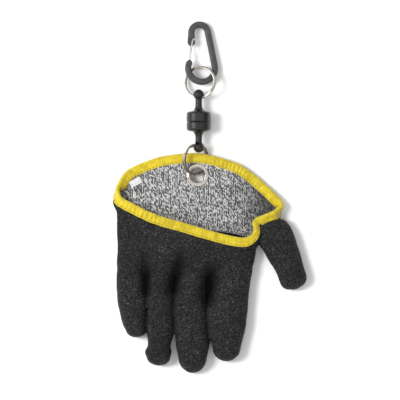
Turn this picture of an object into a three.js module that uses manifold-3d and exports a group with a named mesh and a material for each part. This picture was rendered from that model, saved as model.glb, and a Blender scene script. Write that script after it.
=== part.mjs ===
// Fishing glove: a coated knit glove with a bound mouth and an eyelet, lying on its palm,
// with a split ring, a magnetic release, a second split ring and a spring clip.
// Millimetres. +X is to the thumb side, +Y is from the fingertips to the clip, +Z is up.
import * as THREE from 'three';
import { mergeVertices } from 'three/addons/utils/BufferGeometryUtils.js';
import Module from 'manifold-3d';

const wasm = await Module();
wasm.setup();

// Driving dimensions: glove
const gap = 0.3;                 // clearance between pieces that touch
const wall = 1.8;                // knit and coat together
const palmWidth = 115.3;         // across the knuckles
const palmDepth = 19;            // height of the palm as it lies
const fingerReach = 87.5;        // knuckle line to the tip of the middle finger
const knuckleDrop = 28;          // knuckle line below the lowest point of the mouth
const palmLeft = -68.9;          // outer edge of the little finger side
const fingerGap = 0.6;           // between two fingers
const mouthHalf = 71.4;          // half the width of the mouth
const mouthHeight = 71;          // front dip to the top of the flap
const flapRise = 8.2;            // middle of the flap's cloth above the surface, at the eyelet
const thumbLength = 57;
const thumbWidth = 31;
const thumbDepth = 15;
const thumbLean = 18.7;          // degrees from the fingers' direction
const thumbRoot = new THREE.Vector2(62.9, 9.35);

// Driving dimensions: binding and label
const tapeWidth = 8.2;
const tapeThick = 0.9;
const notchNarrow = 0.34;        // share of the tape's width lost in the thumb notch
const labelLength = 10;
const labelHeight = 5.5;
const labelThick = 0.7;
const labelRound = 221;          // where along the mouth the label is sewn, degrees

// Driving dimensions: eyelet
const eyelet = new THREE.Vector2(-0.6, 52.4);
const eyeletOuter = 18.7;
const eyeletHole = 13;
const eyeletThick = 1;
const eyeletBarrel = 0.8;        // wall of the eyelet's tube

// The flap is level round the eyelet, so that the eyelet seats on it
const levelHalf = 17;            // to each side of the eyelet
const levelFade = 14;            // over which the level part blends into the rest
const levelFrom = 34;            // lowest y of the level part

// Driving dimensions: rings, release and clip
const ringWire = 2.1;            // radial width of a split ring
const ringThick = 2.6;           // its two turns together
const lowerRingOuter = 27;
const upperRingOuter = 28;
const lowerRingX = -1.8;
const upperRingX = 1.7;
const releaseRadius = 10.25;
const releaseX = 0.6;
const seamY = 97.3;              // where the two halves of the release meet
const seamGap = 0.3;
const upperBody = 8.8;
const lowerBody = 7.6;
const upperEye = 23;             // seam to the middle of the ball
const lowerEye = 21.3;
const neckRadius = 2.85;
const ballRadius = 4.6;
const eyeHole = 2.65;            // radius of the cross hole
const eyeShift = 2;              // cross hole towards the neck from the ball's middle
const clipBar = 5.2;
const clipThick = 5;
const clipTop = 7.2;             // radius of the bar's middle line in the small bend
const clipBottom = 11.5;         // the same in the large bend
const clipSpan = 30.2;           // between the centres of the two bends
const clipLean = 1.3;            // the large bend's centre to the right of the small one
const noseWidth = 6.2;
const gateWire = 1.3;
const clipPlace = new THREE.Vector3(1.3, 173, 4.7);   // centre of the small bend

// How the ring and clip planes slope: rise in z for each mm along x and y
const lowerRingSlope = { x: -0.8, y: 0.162 };
const upperRingSlope = { x: 0.3, y: -0.17 };
const clipSlope = { x: -0.185, y: -0.085 };

// Number of steps on curved forms
const loopSteps = 56;
const fingerSides = 14;
const ringSteps = 24;
const turnSteps = 16;

const colours = {
  coat: { color: 0x26272a, roughness: 0.8, metalness: 0 },
  tape: { color: 0xd8bd33, roughness: 0.75, metalness: 0 },
  label: { color: 0xf2f2ee, roughness: 0.7, metalness: 0 },
  nickel: { color: 0xb9b4ab, roughness: 0.28, metalness: 1 },
  plastic: { color: 0x2b2c2d, roughness: 0.5, metalness: 0 },
  anodised: { color: 0x47484a, roughness: 0.45, metalness: 0.7 },
  steel: { color: 0xc4c1bb, roughness: 0.3, metalness: 1 },
};

// A table is a list of rows whose columns are named once
function table(columns, rows) {
  return rows.map((row) => Object.fromEntries(columns.map((name, i) => [name, row[i]])));
}

// Mouth of the glove, from the thumb side over the front to the flap.
// round: place on the palm's section in degrees; across: share of mouthHalf;
// along: share of mouthHeight; up: share of palmDepth.
const mouth = table(['round', 'across', 'along', 'up'], [
  [3, 0.940, 0.347, 0.63],
  [12, 0.881, 0.311, 0.70],
  [20, 0.762, 0.263, 0.76],
  [26, 0.679, 0.228, 0.80],
  [30, 0.643, 0.168, 0.83],
  [34, 0.655, 0.084, 0.86],
  [38, 0.613, 0.024, 0.88],
  [45, 0.524, 0.000, 0.90],
  [60, 0.321, 0.036, 0.93],
  [80, 0.060, 0.108, 0.95],
  [95, -0.179, 0.180, 0.95],
  [108, -0.429, 0.251, 0.92],
  [121, -0.607, 0.323, 0.86],
  [134, -0.738, 0.389, 0.78],
  [146, -0.833, 0.437, 0.72],
  [157, -0.917, 0.485, 0.67],
  [171, -0.970, 0.539, 0.62],
  [179, -0.984, 0.571, 0.58],
  [187, -0.988, 0.605, 0.54],
  [203, -0.952, 0.707, 0.42],
  [213, -0.887, 0.778, 0.34],
  [223, -0.774, 0.838, 0.29],
  [235, -0.571, 0.922, 0.33],
  [248, -0.357, 0.976, 0.41],
  [270, 0.024, 1.000, 0.43],
  [292, 0.405, 0.904, 0.40],
  [303, 0.560, 0.826, 0.33],
  [314, 0.690, 0.731, 0.27],
  [325, 0.810, 0.623, 0.30],
  [336, 0.905, 0.515, 0.36],
  [350, 0.976, 0.419, 0.47],
  [357, 0.966, 0.381, 0.55],
]);

// Palm below the mouth. along: share of fingerReach past the knuckle line;
// left, right: shares of palmWidth; depth: share of palmDepth.
const palmRows = table(['along', 'left', 'right', 'depth'], [
  [-0.175, 0.007, 1.022, 1.00],
  [-0.060, 0.000, 1.004, 0.92],
  [0.040, 0.016, 0.975, 0.70],
  [0.117, 0.050, 0.930, 0.40],
]);

// Fingers, with the same columns as the palm; the last row is the shoulder of the round tip
const fingers = [
  {
    tip: 0.649,
    depth: 0.84,
    rows: table(['along', 'left', 'right'], [
      [-0.117, 0.015, 0.214],
      [0.000, 0.000, 0.221],
      [0.146, 0.000, 0.221],
      [0.291, 0.007, 0.221],
      [0.408, 0.022, 0.2175],
      [0.524, 0.044, 0.221],
      [0.583, 0.066, 0.221],
    ]),
  },
  {
    tip: 0.922,
    depth: 0.86,
    rows: table(['along', 'left', 'right'], [
      [-0.146, 0.236, 0.465],
      [0.000, 0.225, 0.442],
      [0.146, 0.2215, 0.424],
      [0.291, 0.2215, 0.4225],
      [0.602, 0.2235, 0.424],
      [0.718, 0.231, 0.4005],
      [0.786, 0.209, 0.4055],
      [0.835, 0.221, 0.398],
    ]),
  },
  {
    tip: 1,
    depth: 0.88,
    rows: table(['along', 'left', 'right'], [
      [-0.146, 0.479, 0.7006],
      [0.000, 0.446, 0.686],
      [0.146, 0.426, 0.6527],
      [0.291, 0.4226, 0.660],
      [0.485, 0.4226, 0.666],
      [0.680, 0.4314, 0.684],
      [0.757, 0.4366, 0.676],
      [0.835, 0.450, 0.664],
    ]),
  },
  {
    tip: 0.879,
    depth: 0.88,
    rows: table(['along', 'left', 'right'], [
      [-0.078, 0.715, 1.000],
      [0.000, 0.704, 1.000],
      [0.097, 0.686, 0.988],
      [0.291, 0.6637, 0.969],
      [0.466, 0.6667, 0.956],
      [0.583, 0.671, 0.9425],
      [0.680, 0.690, 0.925],
      [0.757, 0.705, 0.910],
    ]),
  },
];

// Thumb. along: share of thumbLength; left, right: shares of thumbWidth from its axis
const thumbRows = table(['along', 'left', 'right'], [
  [-0.080, -0.440, 0.200],
  [-0.030, -0.520, 0.370],
  [0.070, -0.548, 0.456],
  [0.164, -0.521, 0.483],
  [0.313, -0.441, 0.485],
  [0.522, -0.367, 0.474],
  [0.687, -0.310, 0.463],
  [0.836, -0.300, 0.452],
]);

const degrees = Math.PI / 180;
const down = new THREE.Vector3(0, -1, 0);

function signedVolume(geometry) {
  const p = geometry.attributes.position;
  const index = geometry.index;
  const a = new THREE.Vector3();
  const b = new THREE.Vector3();
  const c = new THREE.Vector3();
  let volume = 0;
  for (let i = 0; i < index.count; i += 3) {
    a.fromBufferAttribute(p, index.getX(i));
    b.fromBufferAttribute(p, index.getX(i + 1));
    c.fromBufferAttribute(p, index.getX(i + 2));
    volume += a.dot(b.cross(c));
  }
  return volume;
}

// Shared corners, no normals or uv, and the faces pointing out
function closed(geometry) {
  const plain = geometry.clone();
  plain.deleteAttribute('normal');
  plain.deleteAttribute('uv');
  const merged = mergeVertices(plain, 1e-4);
  if (signedVolume(merged) > 0) return merged;
  const flipped = Array.from(merged.index.array).reverse();
  merged.setIndex(flipped);
  return merged;
}

function solid(geometry) {
  const merged = closed(geometry);
  return new wasm.Manifold(new wasm.Mesh({
    numProp: 3,
    vertProperties: new Float32Array(merged.attributes.position.array),
    triVerts: new Uint32Array(merged.index.array),
  }));
}

function geometryOf(manifold) {
  const mesh = manifold.getMesh();
  const geometry = new THREE.BufferGeometry();
  geometry.setAttribute('position', new THREE.BufferAttribute(new Float32Array(mesh.vertProperties), 3));
  geometry.setIndex(Array.from(mesh.triVerts));
  return geometry;
}

// Skin through equal rings of points: closed into a loop, or with an apex at each end
function skin(rings, looped, firstApex, lastApex) {
  const count = rings[0].length;
  const points = rings.flat();
  const faces = [];
  const bands = looped ? rings.length : rings.length - 1;
  for (let i = 0; i < bands; i++) {
    const here = i * count;
    const next = ((i + 1) % rings.length) * count;
    for (let j = 0; j < count; j++) {
      const k = (j + 1) % count;
      faces.push(here + j, here + k, next + j, next + j, here + k, next + k);
    }
  }
  if (!looped) {
    const last = (rings.length - 1) * count;
    points.push(firstApex ?? centroid(rings[0]), lastApex ?? centroid(rings.at(-1)));
    for (let j = 0; j < count; j++) {
      const k = (j + 1) % count;
      faces.push(points.length - 2, k, j, points.length - 1, last + j, last + k);
    }
  }
  const geometry = new THREE.BufferGeometry().setFromPoints(points);
  geometry.setIndex(faces);
  return geometry;
}

function centroid(points) {
  const sum = new THREE.Vector3();
  points.forEach((point) => sum.add(point));
  return sum.divideScalar(points.length);
}

function named(name, geometry, look) {
  const mesh = new THREE.Mesh(closed(geometry), new THREE.MeshStandardMaterial(look));
  mesh.geometry.computeVertexNormals();
  mesh.name = name;
  return mesh;
}

// One point of a cloth tube's section: a rounded box that is flat where it rests
const sectionPower = 2.4;
const pressShare = 0.08;

function sectionPoint(angle, left, right, depth, y, inset) {
  const bend = 2 / sectionPower;
  const c = Math.cos(angle);
  const s = Math.sin(angle);
  const half = (right - left) / 2 - inset;
  const high = depth / 2 - inset;
  const side = Math.sign(c) * Math.abs(c) ** bend;
  const rise = Math.sign(s) * Math.abs(s) ** bend;
  const press = rise < 0 ? 1 + 2 * pressShare : 1;
  const z = Math.max(0, high + high * rise * press);
  return new THREE.Vector3((left + right) / 2 + half * side, y, z + inset);
}

// The tip narrows as a quarter of a circle past the last row
const domeAngles = [28, 52, 72];
const tipDepth = 0.35;           // share of the depth that is left at the very tip

function clothTube(rows, tip, depth, sizes, inset) {
  const { origin, width, length, spare } = sizes;
  const ring = (along, left, right, share, shift) => {
    const points = [];
    for (let j = 0; j < fingerSides; j++) {
      const angle = (j + 0.5) * 2 * Math.PI / fingerSides;
      const middle = (left + right) / 2;
      const x0 = origin + width * (middle + (left - middle) * share) + spare;
      const x1 = origin + width * (middle + (right - middle) * share) - spare;
      const high = depth * (tipDepth + (1 - tipDepth) * share);
      points.push(sectionPoint(angle, x0, x1, high, -along * length + shift, inset));
    }
    return points;
  };
  const rings = rows.map((row) => ring(row.along, row.left, row.right, 1, 0));
  const last = rows.at(-1);
  for (const angle of domeAngles) {
    const along = last.along + (tip - last.along) * Math.sin(angle * degrees);
    rings.push(ring(along, last.left, last.right, Math.cos(angle * degrees), inset * Math.sin(angle * degrees)));
  }
  const end = centroid(rings.at(-1));
  end.y = -tip * length + inset;
  return skin(rings, false, null, end);
}

function fingerTube(finger, inset) {
  const sizes = { origin: palmLeft, width: palmWidth, length: fingerReach, spare: fingerGap / 2 };
  const tube = clothTube(finger.rows, finger.tip, finger.depth * palmDepth, sizes, inset);
  return tube.translate(0, -knuckleDrop, 0);
}

function thumbTube(inset) {
  const sizes = { origin: 0, width: thumbWidth, length: thumbLength, spare: 0 };
  const tube = clothTube(thumbRows, 1, thumbDepth, sizes, inset);
  return tube.rotateZ(thumbLean * degrees).translate(thumbRoot.x, thumbRoot.y, 0);
}

// Frames along the mouth: place, way into the cloth, and way out of the cloth
const mouthFlat = 4;             // how much flatter than a circle the mouth's section is
const notchRound = 32;           // where the thumb notch is, and how far it spreads, in degrees
const notchSpread = 7;
const runWindow = 0.04;          // share of the loop over which its direction is taken

function mouthFrames() {
  const spots = mouth.map((row) => new THREE.Vector3(
    row.across * mouthHalf, row.along * mouthHeight, row.up * palmDepth));
  const curve = new THREE.CatmullRomCurve3(spots, true, 'catmullrom', 0.5);
  const per = loopSteps / mouth.length;
  const frames = [];
  for (let i = 0; i < loopSteps; i++) {
    const u = i / loopSteps;
    const row = Math.floor(i / per);
    const next = mouth[(row + 1) % mouth.length].round + (row + 1 === mouth.length ? 360 : 0);
    const round = mouth[row].round + (next - mouth[row].round) * (i / per - row);
    const place = curve.getPoint(u);
    if (isFlap(round)) level(place, 0);
    const before = curve.getPoint((u - runWindow + 1) % 1);
    const run = curve.getPoint((u + runWindow) % 1).sub(before).normalize();
    const angle = round * degrees;
    const out = new THREE.Vector3(Math.cos(angle), 0, mouthFlat * Math.sin(angle)).normalize();
    out.addScaledVector(run, -out.dot(run)).normalize();
    const into = out.clone().cross(run);
    const fromNotch = (round - notchRound) / notchSpread;
    const tape = tapeWidth * (1 - notchNarrow * Math.exp(-fromNotch * fromNotch));
    frames.push({ round, angle, place, run, into, out, tape });
  }
  return frames;
}

const frames = mouthFrames();
const clothStart = tapeThick + gap;
const stripEnd = 1.6;            // cloth that runs straight on past the tape

function atFrame(frame, into, out) {
  return frame.place.clone().addScaledVector(frame.into, into).addScaledVector(frame.out, out);
}

function isFlap(round) {
  return round > 200 && round < 340;
}

function level(point, side) {
  const across = Math.max(0, Math.abs(point.x - eyelet.x) - levelHalf) / levelFade;
  const along = Math.max(0, levelFrom - point.y) / levelFade;
  const share = Math.min(1, Math.hypot(across, along));
  const keep = share * share * (3 - 2 * share);
  point.z = flapRise + side + (point.z - flapRise - side) * keep;
  return point;
}

// The sleeve runs from the mouth to the fingers' roots; its open end is closed by an apex
const sleeveSteps = [0.18, 0.42, 0.7];
const leadDown = 0.6;            // how far the cloth has turned to the fingers where it leaves the tape
const mouthOut = new THREE.Vector3(0, 6, 9);
const mouthIn = new THREE.Vector3(0, 5, 3);

function sleeve(inset) {
  const side = inset > 0 ? -wall / 2 : wall / 2;
  const first = palmRows[0];
  const rowRing = (row, shorten) => frames.map((frame) => sectionPoint(
    frame.angle,
    palmLeft + row.left * palmWidth,
    palmLeft + row.right * palmWidth,
    row.depth * palmDepth,
    -knuckleDrop - row.along * fingerReach + shorten,
    inset));
  const target = rowRing(first, 0);
  const settle = (point, frame, shift) => (isFlap(frame.round) ? level(point, -shift) : point);
  const strip = frames.map((frame) => settle(atFrame(frame, frame.tape + stripEnd, side), frame, side));
  const rings = [];
  if (inset > 0) {
    rings.push(frames.map((frame) => settle(atFrame(frame, clothStart - wall, side), frame, side)));
  } else {
    rings.push(frames.map((frame) => settle(atFrame(frame, clothStart, -side), frame, -side)));
    rings.push(frames.map((frame) => settle(atFrame(frame, clothStart, side), frame, side)));
  }
  rings.push(strip);
  for (const t of sleeveSteps) {
    rings.push(frames.map((frame, i) => {
      const start = strip[i];
      const end = target[i];
      const pull = Math.abs(start.y - end.y);
      const t2 = t * t;
      const t3 = t2 * t;
      const point = start.clone().multiplyScalar(2 * t3 - 3 * t2 + 1);
      point.addScaledVector(frame.into.clone().lerp(down, leadDown), pull * (t3 - 2 * t2 + t));
      point.addScaledVector(end, 3 * t2 - 2 * t3);
      point.addScaledVector(down, pull * (t3 - t2));
      point.z = Math.max(point.z, inset);
      return settle(point, frame, side);
    }));
  }
  rings.push(target);
  palmRows.slice(1).forEach((row, i) => {
    rings.push(rowRing(row, i === palmRows.length - 2 ? inset : 0));
  });
  const middle = centroid(rings[0]);
  const apex = inset > 0 ? middle.add(mouthOut) : middle.sub(mouthIn);
  return skin(rings, false, apex, null);
}

function cylinder(radius, length) {
  return new THREE.CylinderGeometry(radius, radius, length, 2 * turnSteps);
}

function gloveShell() {
  let outside = solid(sleeve(0));
  let inside = solid(sleeve(wall));
  for (const finger of fingers) {
    outside = outside.add(solid(fingerTube(finger, 0)));
    inside = inside.add(solid(fingerTube(finger, wall)));
  }
  outside = outside.add(solid(thumbTube(0)));
  inside = inside.add(solid(thumbTube(wall)));
  const hole = cylinder(eyeletHole / 2 + eyeletBarrel + gap, palmDepth);
  hole.rotateX(Math.PI / 2).translate(eyelet.x, eyelet.y, flapRise);
  const shell = outside.subtract(inside).subtract(solid(hole));
  return geometryOf(shell.subtract(solid(bindingSkin(gap))));
}

// Tape folded over the cloth's edge; grow makes the room that it needs in the cloth
const foldRound = 0.8;           // length over which the fold narrows
const foldFlat = 0.6;            // share of the half thickness that is flat on the fold

function bindingSkin(grow) {
  const half = wall / 2 + gap - grow;
  const outer = wall / 2 + gap + tapeThick + grow;
  return skin(frames.map((frame) => [
    atFrame(frame, -grow, half * foldFlat),
    atFrame(frame, foldRound, outer),
    atFrame(frame, frame.tape + grow, outer),
    atFrame(frame, frame.tape + grow, half),
    atFrame(frame, tapeThick + grow, half),
    atFrame(frame, tapeThick + grow, -half),
    atFrame(frame, frame.tape + grow, -half),
    atFrame(frame, frame.tape + grow, -outer),
    atFrame(frame, foldRound, -outer),
    atFrame(frame, -grow, -half * foldFlat),
  ]), true);
}

const labelLift = 1.2;           // clear of the cloth's curve under the label

function sizeLabel() {
  const frame = frames.reduce((best, f) => (
    Math.abs(f.round - labelRound) < Math.abs(best.round - labelRound) ? f : best));
  const box = new THREE.BoxGeometry(labelLength, labelHeight, labelThick);
  const into = tapeWidth + 2 * gap + labelHeight / 2;
  const centre = atFrame(frame, into, -(wall / 2 + labelLift + labelThick / 2));
  const above = frame.into.clone().negate();
  const basis = new THREE.Matrix4().makeBasis(frame.run, above, frame.out.clone().negate());
  return box.applyMatrix4(basis).translate(centre.x, centre.y, centre.z);
}

function lathe(profile, steps) {
  const points = profile.map(([radius, height]) => new THREE.Vector2(radius, height));
  return new THREE.LatheGeometry(points, steps);
}

function eyeletFront() {
  const inner = eyeletHole / 2;
  const outer = eyeletOuter / 2;
  const seat = wall / 2 + gap;
  const foot = -seat - eyeletThick;
  const round = eyeletThick / 2;
  return lathe([
    [inner, foot],
    [inner + eyeletBarrel, foot],
    [inner + eyeletBarrel, seat],
    [outer, seat],
    [outer, seat + round],
    [outer - round, seat + eyeletThick],
    [inner + round, seat + eyeletThick],
    [inner, seat + round],
    [inner, foot],
  ], 2 * turnSteps).rotateX(Math.PI / 2).translate(eyelet.x, eyelet.y, flapRise);
}

function eyeletBack() {
  const inner = eyeletHole / 2 + eyeletBarrel + gap;
  const outer = eyeletOuter / 2;
  const seat = -wall / 2 - gap;
  const round = eyeletThick / 2;
  return lathe([
    [inner, seat - eyeletThick],
    [outer - round, seat - eyeletThick],
    [outer, seat - round],
    [outer, seat],
    [inner, seat],
    [inner, seat - eyeletThick],
  ], 2 * turnSteps).rotateX(Math.PI / 2).translate(eyelet.x, eyelet.y, flapRise);
}

// Two turns of flat wire, side by side, with the groove between them
function splitRing(outer) {
  const middle = (outer - ringWire) / 2;
  const w = ringWire / 2;
  const h = ringThick / 2;
  const corner = 0.4;
  const groove = 0.35;
  const rim = [
    [w - groove, 0],
    [w, groove],
    [w, h - corner],
    [w - corner, h],
    [corner - w, h],
    [-w, h - corner],
    [-w, corner - h],
    [corner - w, -h],
    [w - corner, -h],
    [w, corner - h],
    [w, -groove],
  ];
  const rings = [];
  for (let i = 0; i < ringSteps; i++) {
    const angle = 2 * Math.PI * i / ringSteps;
    rings.push(rim.map(([radial, height]) => new THREE.Vector3(
      (middle + radial) * Math.cos(angle), (middle + radial) * Math.sin(angle), height)));
  }
  return skin(rings, true);
}

// Turns an object so that its own +Z stands on a plane with the given slopes
function lieOn(object, slope) {
  const normal = new THREE.Vector3(-slope.x, -slope.y, 1).normalize();
  const x = new THREE.Vector3(1, 0, slope.x).normalize();
  const y = normal.clone().cross(x);
  object.quaternion.setFromRotationMatrix(new THREE.Matrix4().makeBasis(x, y, normal));
  object.updateMatrixWorld(true);
}

// Point and direction of a ring's wire where it passes over a given x
const wireTries = 30;

function wireAt(ring, radius, startAngle, x) {
  let angle = startAngle;
  const point = new THREE.Vector3();
  for (let i = 0; i < wireTries; i++) {
    point.set(radius * Math.cos(angle), radius * Math.sin(angle), 0).applyMatrix4(ring.matrixWorld);
    angle += (point.x - x) / (radius * Math.sin(startAngle));
  }
  const along = new THREE.Vector3(-Math.sin(angle), Math.cos(angle), 0).transformDirection(ring.matrixWorld);
  return { point, along };
}

// One half of the release, from its seam face outwards along +Y
function releaseHalf(body, eye) {
  const seam = seamGap / 2;
  const edge = 0.45;             // chamfer at the seam
  const shoulder = 2.2;          // radius of the body's far edge
  const collar = 6;              // radius of the flare's foot
  const lip = 0.3;               // height of the step under the flare
  const flare = 5.4;             // length over which the flare narrows to the neck
  const profile = [[0, seam], [releaseRadius - edge, seam], [releaseRadius, seam + edge]];
  profile.push([releaseRadius, body - shoulder]);
  for (const a of [30, 60, 90]) {
    profile.push([
      releaseRadius - shoulder * (1 - Math.cos(a * degrees)),
      body - shoulder + shoulder * Math.sin(a * degrees),
    ]);
  }
  for (const a of [0, 45, 90]) {
    profile.push([
      collar - (collar - neckRadius) * Math.sin(a * degrees),
      body + lip + flare * (1 - Math.cos(a * degrees)),
    ]);
  }
  for (const a of [-50, -20, 15, 50]) {
    profile.push([ballRadius * Math.cos(a * degrees), eye + ballRadius * Math.sin(a * degrees)]);
  }
  profile.push([0, eye + ballRadius]);
  return lathe(profile, turnSteps);
}

function crossHole(wire) {
  const hole = cylinder(eyeHole, 4 * ballRadius);
  hole.applyQuaternion(new THREE.Quaternion().setFromUnitVectors(new THREE.Vector3(0, 1, 0), wire.along));
  return solid(hole.translate(wire.point.x, wire.point.y, wire.point.z));
}

// The ring is placed so that its wire runs through the ball's cross hole
function seatRing(ring, radius, startAngle, slope, across, target) {
  lieOn(ring, slope);
  ring.position.set(across, 0, 0);
  ring.updateMatrixWorld(true);
  const wire = wireAt(ring, radius, startAngle, target.x);
  ring.position.y += target.y - wire.point.y;
  ring.position.z += target.z - wire.point.z;
  ring.updateMatrixWorld(true);
  return wireAt(ring, radius, startAngle, target.x);
}

// Clip: bar outline from its middle line and half widths, from the nose round to the hook
const noseDrop = 8.2;            // straight bar below the small bend, on the nose's side
const hookAngle = 202;           // how far the large bend comes round, degrees
const noseSpread = 9;            // length over which the nose widens
const smallBendSteps = 10;
const largeBendSteps = 14;

function clipLine() {
  const top = new THREE.Vector2(0, 0);
  const bottom = new THREE.Vector2(clipLean, -clipSpan);
  const spread = bottom.clone().sub(top);
  const tangent = Math.atan2(spread.y, spread.x) + Math.acos((clipTop - clipBottom) / spread.length());
  const line = [];
  const arc = (centre, radius, from, to, steps) => {
    for (let i = 0; i <= steps; i++) {
      const angle = from + (to - from) * i / steps;
      line.push(new THREE.Vector2(centre.x + radius * Math.cos(angle), centre.y + radius * Math.sin(angle)));
    }
  };
  line.push(new THREE.Vector2(-clipTop, -noseDrop));
  line.push(new THREE.Vector2(-clipTop, -noseDrop / 2));
  arc(top, clipTop, Math.PI, tangent, smallBendSteps);
  arc(bottom, clipBottom, tangent, -hookAngle * degrees, largeBendSteps);
  return line;
}

function clipOutline() {
  const line = clipLine();
  const lengths = [0];
  for (let i = 1; i < line.length; i++) {
    lengths.push(lengths[i - 1] + line[i].distanceTo(line[i - 1]));
  }
  const one = [];
  const other = [];
  line.forEach((point, i) => {
    const before = line[Math.max(0, i - 1)];
    const after = line[Math.min(line.length - 1, i + 1)];
    const run = after.clone().sub(before).normalize();
    const side = new THREE.Vector2(-run.y, run.x);
    const fade = Math.max(0, 1 - lengths[i] / noseSpread);
    const half = (clipBar + (noseWidth - clipBar) * fade) / 2;
    one.push(point.clone().addScaledVector(side, half));
    other.push(point.clone().addScaledVector(side, -half));
  });
  const cap = (centre, from, half, turn) => [45, 90, 135].map((a) => new THREE.Vector2(
    centre.x + half * Math.cos(from + turn * a * degrees),
    centre.y + half * Math.sin(from + turn * a * degrees)));
  const first = line[0];
  const last = line.at(-1);
  const hookRun = Math.atan2(last.y - line.at(-2).y, last.x - line.at(-2).x);
  return [
    ...one,
    ...cap(last, hookRun + Math.PI / 2, clipBar / 2, -1),
    ...other.reverse(),
    ...cap(first, 0, noseWidth / 2, -1),
  ];
}

const clipBevel = 1.1;

function clipBlank() {
  const shape = new THREE.Shape(clipOutline());
  const blank = new THREE.ExtrudeGeometry(shape, {
    depth: clipThick - 2 * clipBevel,
    bevelEnabled: true,
    bevelThickness: clipBevel,
    bevelSize: clipBevel,
    bevelOffset: -clipBevel,
    bevelSegments: 1,
    steps: 1,
  });
  return blank.translate(0, 0, clipBevel - clipThick / 2);
}

// The gate turns on a pin in the hook's slot and closes against the nose from inside
const slotWidth = 2.9;
const slotDepth = 8;
const pinInset = 4.2;            // pin behind the end of the hook
const pinBlind = 0.6;            // cheek left outside each end of the pin
const noseFlat = 1.6;            // half the thickness left on the nose between the legs
const gateSeat = 0.9;            // crossbar to the right of the nose's middle line
const gateOverlap = 2.6;         // crossbar above the nose's own end centre

function hookEnd() {
  const angle = -hookAngle * degrees;
  const reach = (a) => new THREE.Vector2(
    clipLean + clipBottom * Math.cos(a), -clipSpan + clipBottom * Math.sin(a));
  const end = reach(angle);
  const pin = reach(angle + pinInset / clipBottom);
  return { end, pin };
}

function gateEnd() {
  return new THREE.Vector2(-clipTop + gateSeat, -noseDrop + gateOverlap);
}

function boxAt(width, height, depth, x, y, z, turn) {
  return solid(new THREE.BoxGeometry(width, height, depth).rotateZ(turn).translate(x, y, z));
}

function clipBody() {
  const { end, pin } = hookEnd();
  const wireRoom = gateWire + 2 * gap;
  const tilt = Math.atan2(end.y - pin.y, end.x - pin.x) - Math.PI / 2;
  let body = solid(clipBlank());
  const slotMid = end.clone().lerp(pin, 0.5);
  body = body.subtract(boxAt(3 * clipBar, slotDepth + clipBar, slotWidth, slotMid.x, slotMid.y, 0, tilt));
  const pinHole = cylinder(gateWire / 2 + gap, clipThick - 2 * pinBlind).rotateX(Math.PI / 2);
  body = body.subtract(solid(pinHole.translate(pin.x, pin.y, 0)));
  const nose = gateEnd();
  const flatLength = noseDrop + noseWidth;
  for (const side of [-1, 1]) {
    const z = side * (noseFlat + clipThick / 2);
    const y = nose.y + wireRoom / 2 - flatLength / 2;
    body = body.subtract(boxAt(2 * noseWidth, flatLength, clipThick, -clipTop, y, z, 0));
  }
  const notchX = nose.x - wireRoom / 2 + noseWidth;
  const notchLow = nose.y - wireRoom / 2;
  body = body.subtract(boxAt(2 * noseWidth, wireRoom, clipThick * 2, notchX, notchLow + wireRoom / 2, 0, 0));
  return geometryOf(body);
}

// One leg of the gate, from its pin end to the crossbar; the other leg is its mirror image
const hubBend = 0.65;            // radius of the bend between the pin and the leg
const hubRun = 6.5;              // length that stays inside the slot
const legRun = 4;                // length that lies along the nose
const tipBend = 1.1;
const bendSteps = 5;
const wireSides = 12;

function gateLeg(side) {
  const { pin } = hookEnd();
  const lift = gateEnd().sub(pin);
  const length = lift.length();
  lift.normalize();
  const hub = slotWidth / 2 - gap - gateWire / 2;
  const leg = noseFlat + gap + gateWire / 2;
  const place = (t, z) => new THREE.Vector3(pin.x + lift.x * t, pin.y + lift.y * t, side * z);
  const bend = (a, corner, b) => new THREE.QuadraticBezierCurve3(a, corner, b).getPoints(bendSteps);
  return [
    place(0, clipThick / 2 - pinBlind - gap),
    ...bend(place(0, hub + hubBend), place(0, hub), place(hubBend, hub)),
    place(hubRun, hub),
    place(length - tipBend - legRun, leg),
    ...bend(place(length - tipBend, leg), place(length, leg), place(length, leg - tipBend)),
  ];
}

function clipGate() {
  return wireAlong([...gateLeg(1), ...gateLeg(-1).reverse()], gateWire / 2, wireSides);
}

// Round wire through the given points, mitred where it bends
function wireAlong(spots, radius, sides) {
  let side = new THREE.Vector3(1, 0, 0);
  const rings = spots.map((spot, i) => {
    const before = spots[Math.max(0, i - 1)];
    const after = spots[Math.min(spots.length - 1, i + 1)];
    const run = after.clone().sub(before).normalize();
    side = side.clone().addScaledVector(run, -side.dot(run)).normalize();
    const other = run.clone().cross(side);
    return Array.from({ length: sides }, (_, k) => {
      const angle = 2 * Math.PI * k / sides;
      return spot.clone()
        .addScaledVector(side, radius * Math.cos(angle))
        .addScaledVector(other, radius * Math.sin(angle));
    });
  });
  return skin(rings, false, null, null);
}

const assembly = new THREE.Group();

assembly.add(named('glove_shell', gloveShell(), colours.coat));
assembly.add(named('hem_binding', bindingSkin(0), colours.tape));
assembly.add(named('size_label', sizeLabel(), colours.label));
assembly.add(named('grommet_front', eyeletFront(), colours.nickel));
assembly.add(named('grommet_back', eyeletBack(), colours.nickel));

// Rings: each wire runs through a ball's cross hole
const lowerRing = named('lower_ring', splitRing(lowerRingOuter), colours.nickel);
const lowerEyeAt = new THREE.Vector3(releaseX, seamY - lowerEye + eyeShift, releaseRadius);
const lowerRadius = (lowerRingOuter - ringWire) / 2;
const lowerWire = seatRing(lowerRing, lowerRadius, Math.PI / 2, lowerRingSlope, lowerRingX, lowerEyeAt);
assembly.add(lowerRing);

const upperRing = named('upper_ring', splitRing(upperRingOuter), colours.nickel);
const upperEyeAt = new THREE.Vector3(releaseX, seamY + upperEye - eyeShift, releaseRadius);
const upperRadius = (upperRingOuter - ringWire) / 2;
const upperWire = seatRing(upperRing, upperRadius, -Math.PI / 2, upperRingSlope, upperRingX, upperEyeAt);
assembly.add(upperRing);

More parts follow.
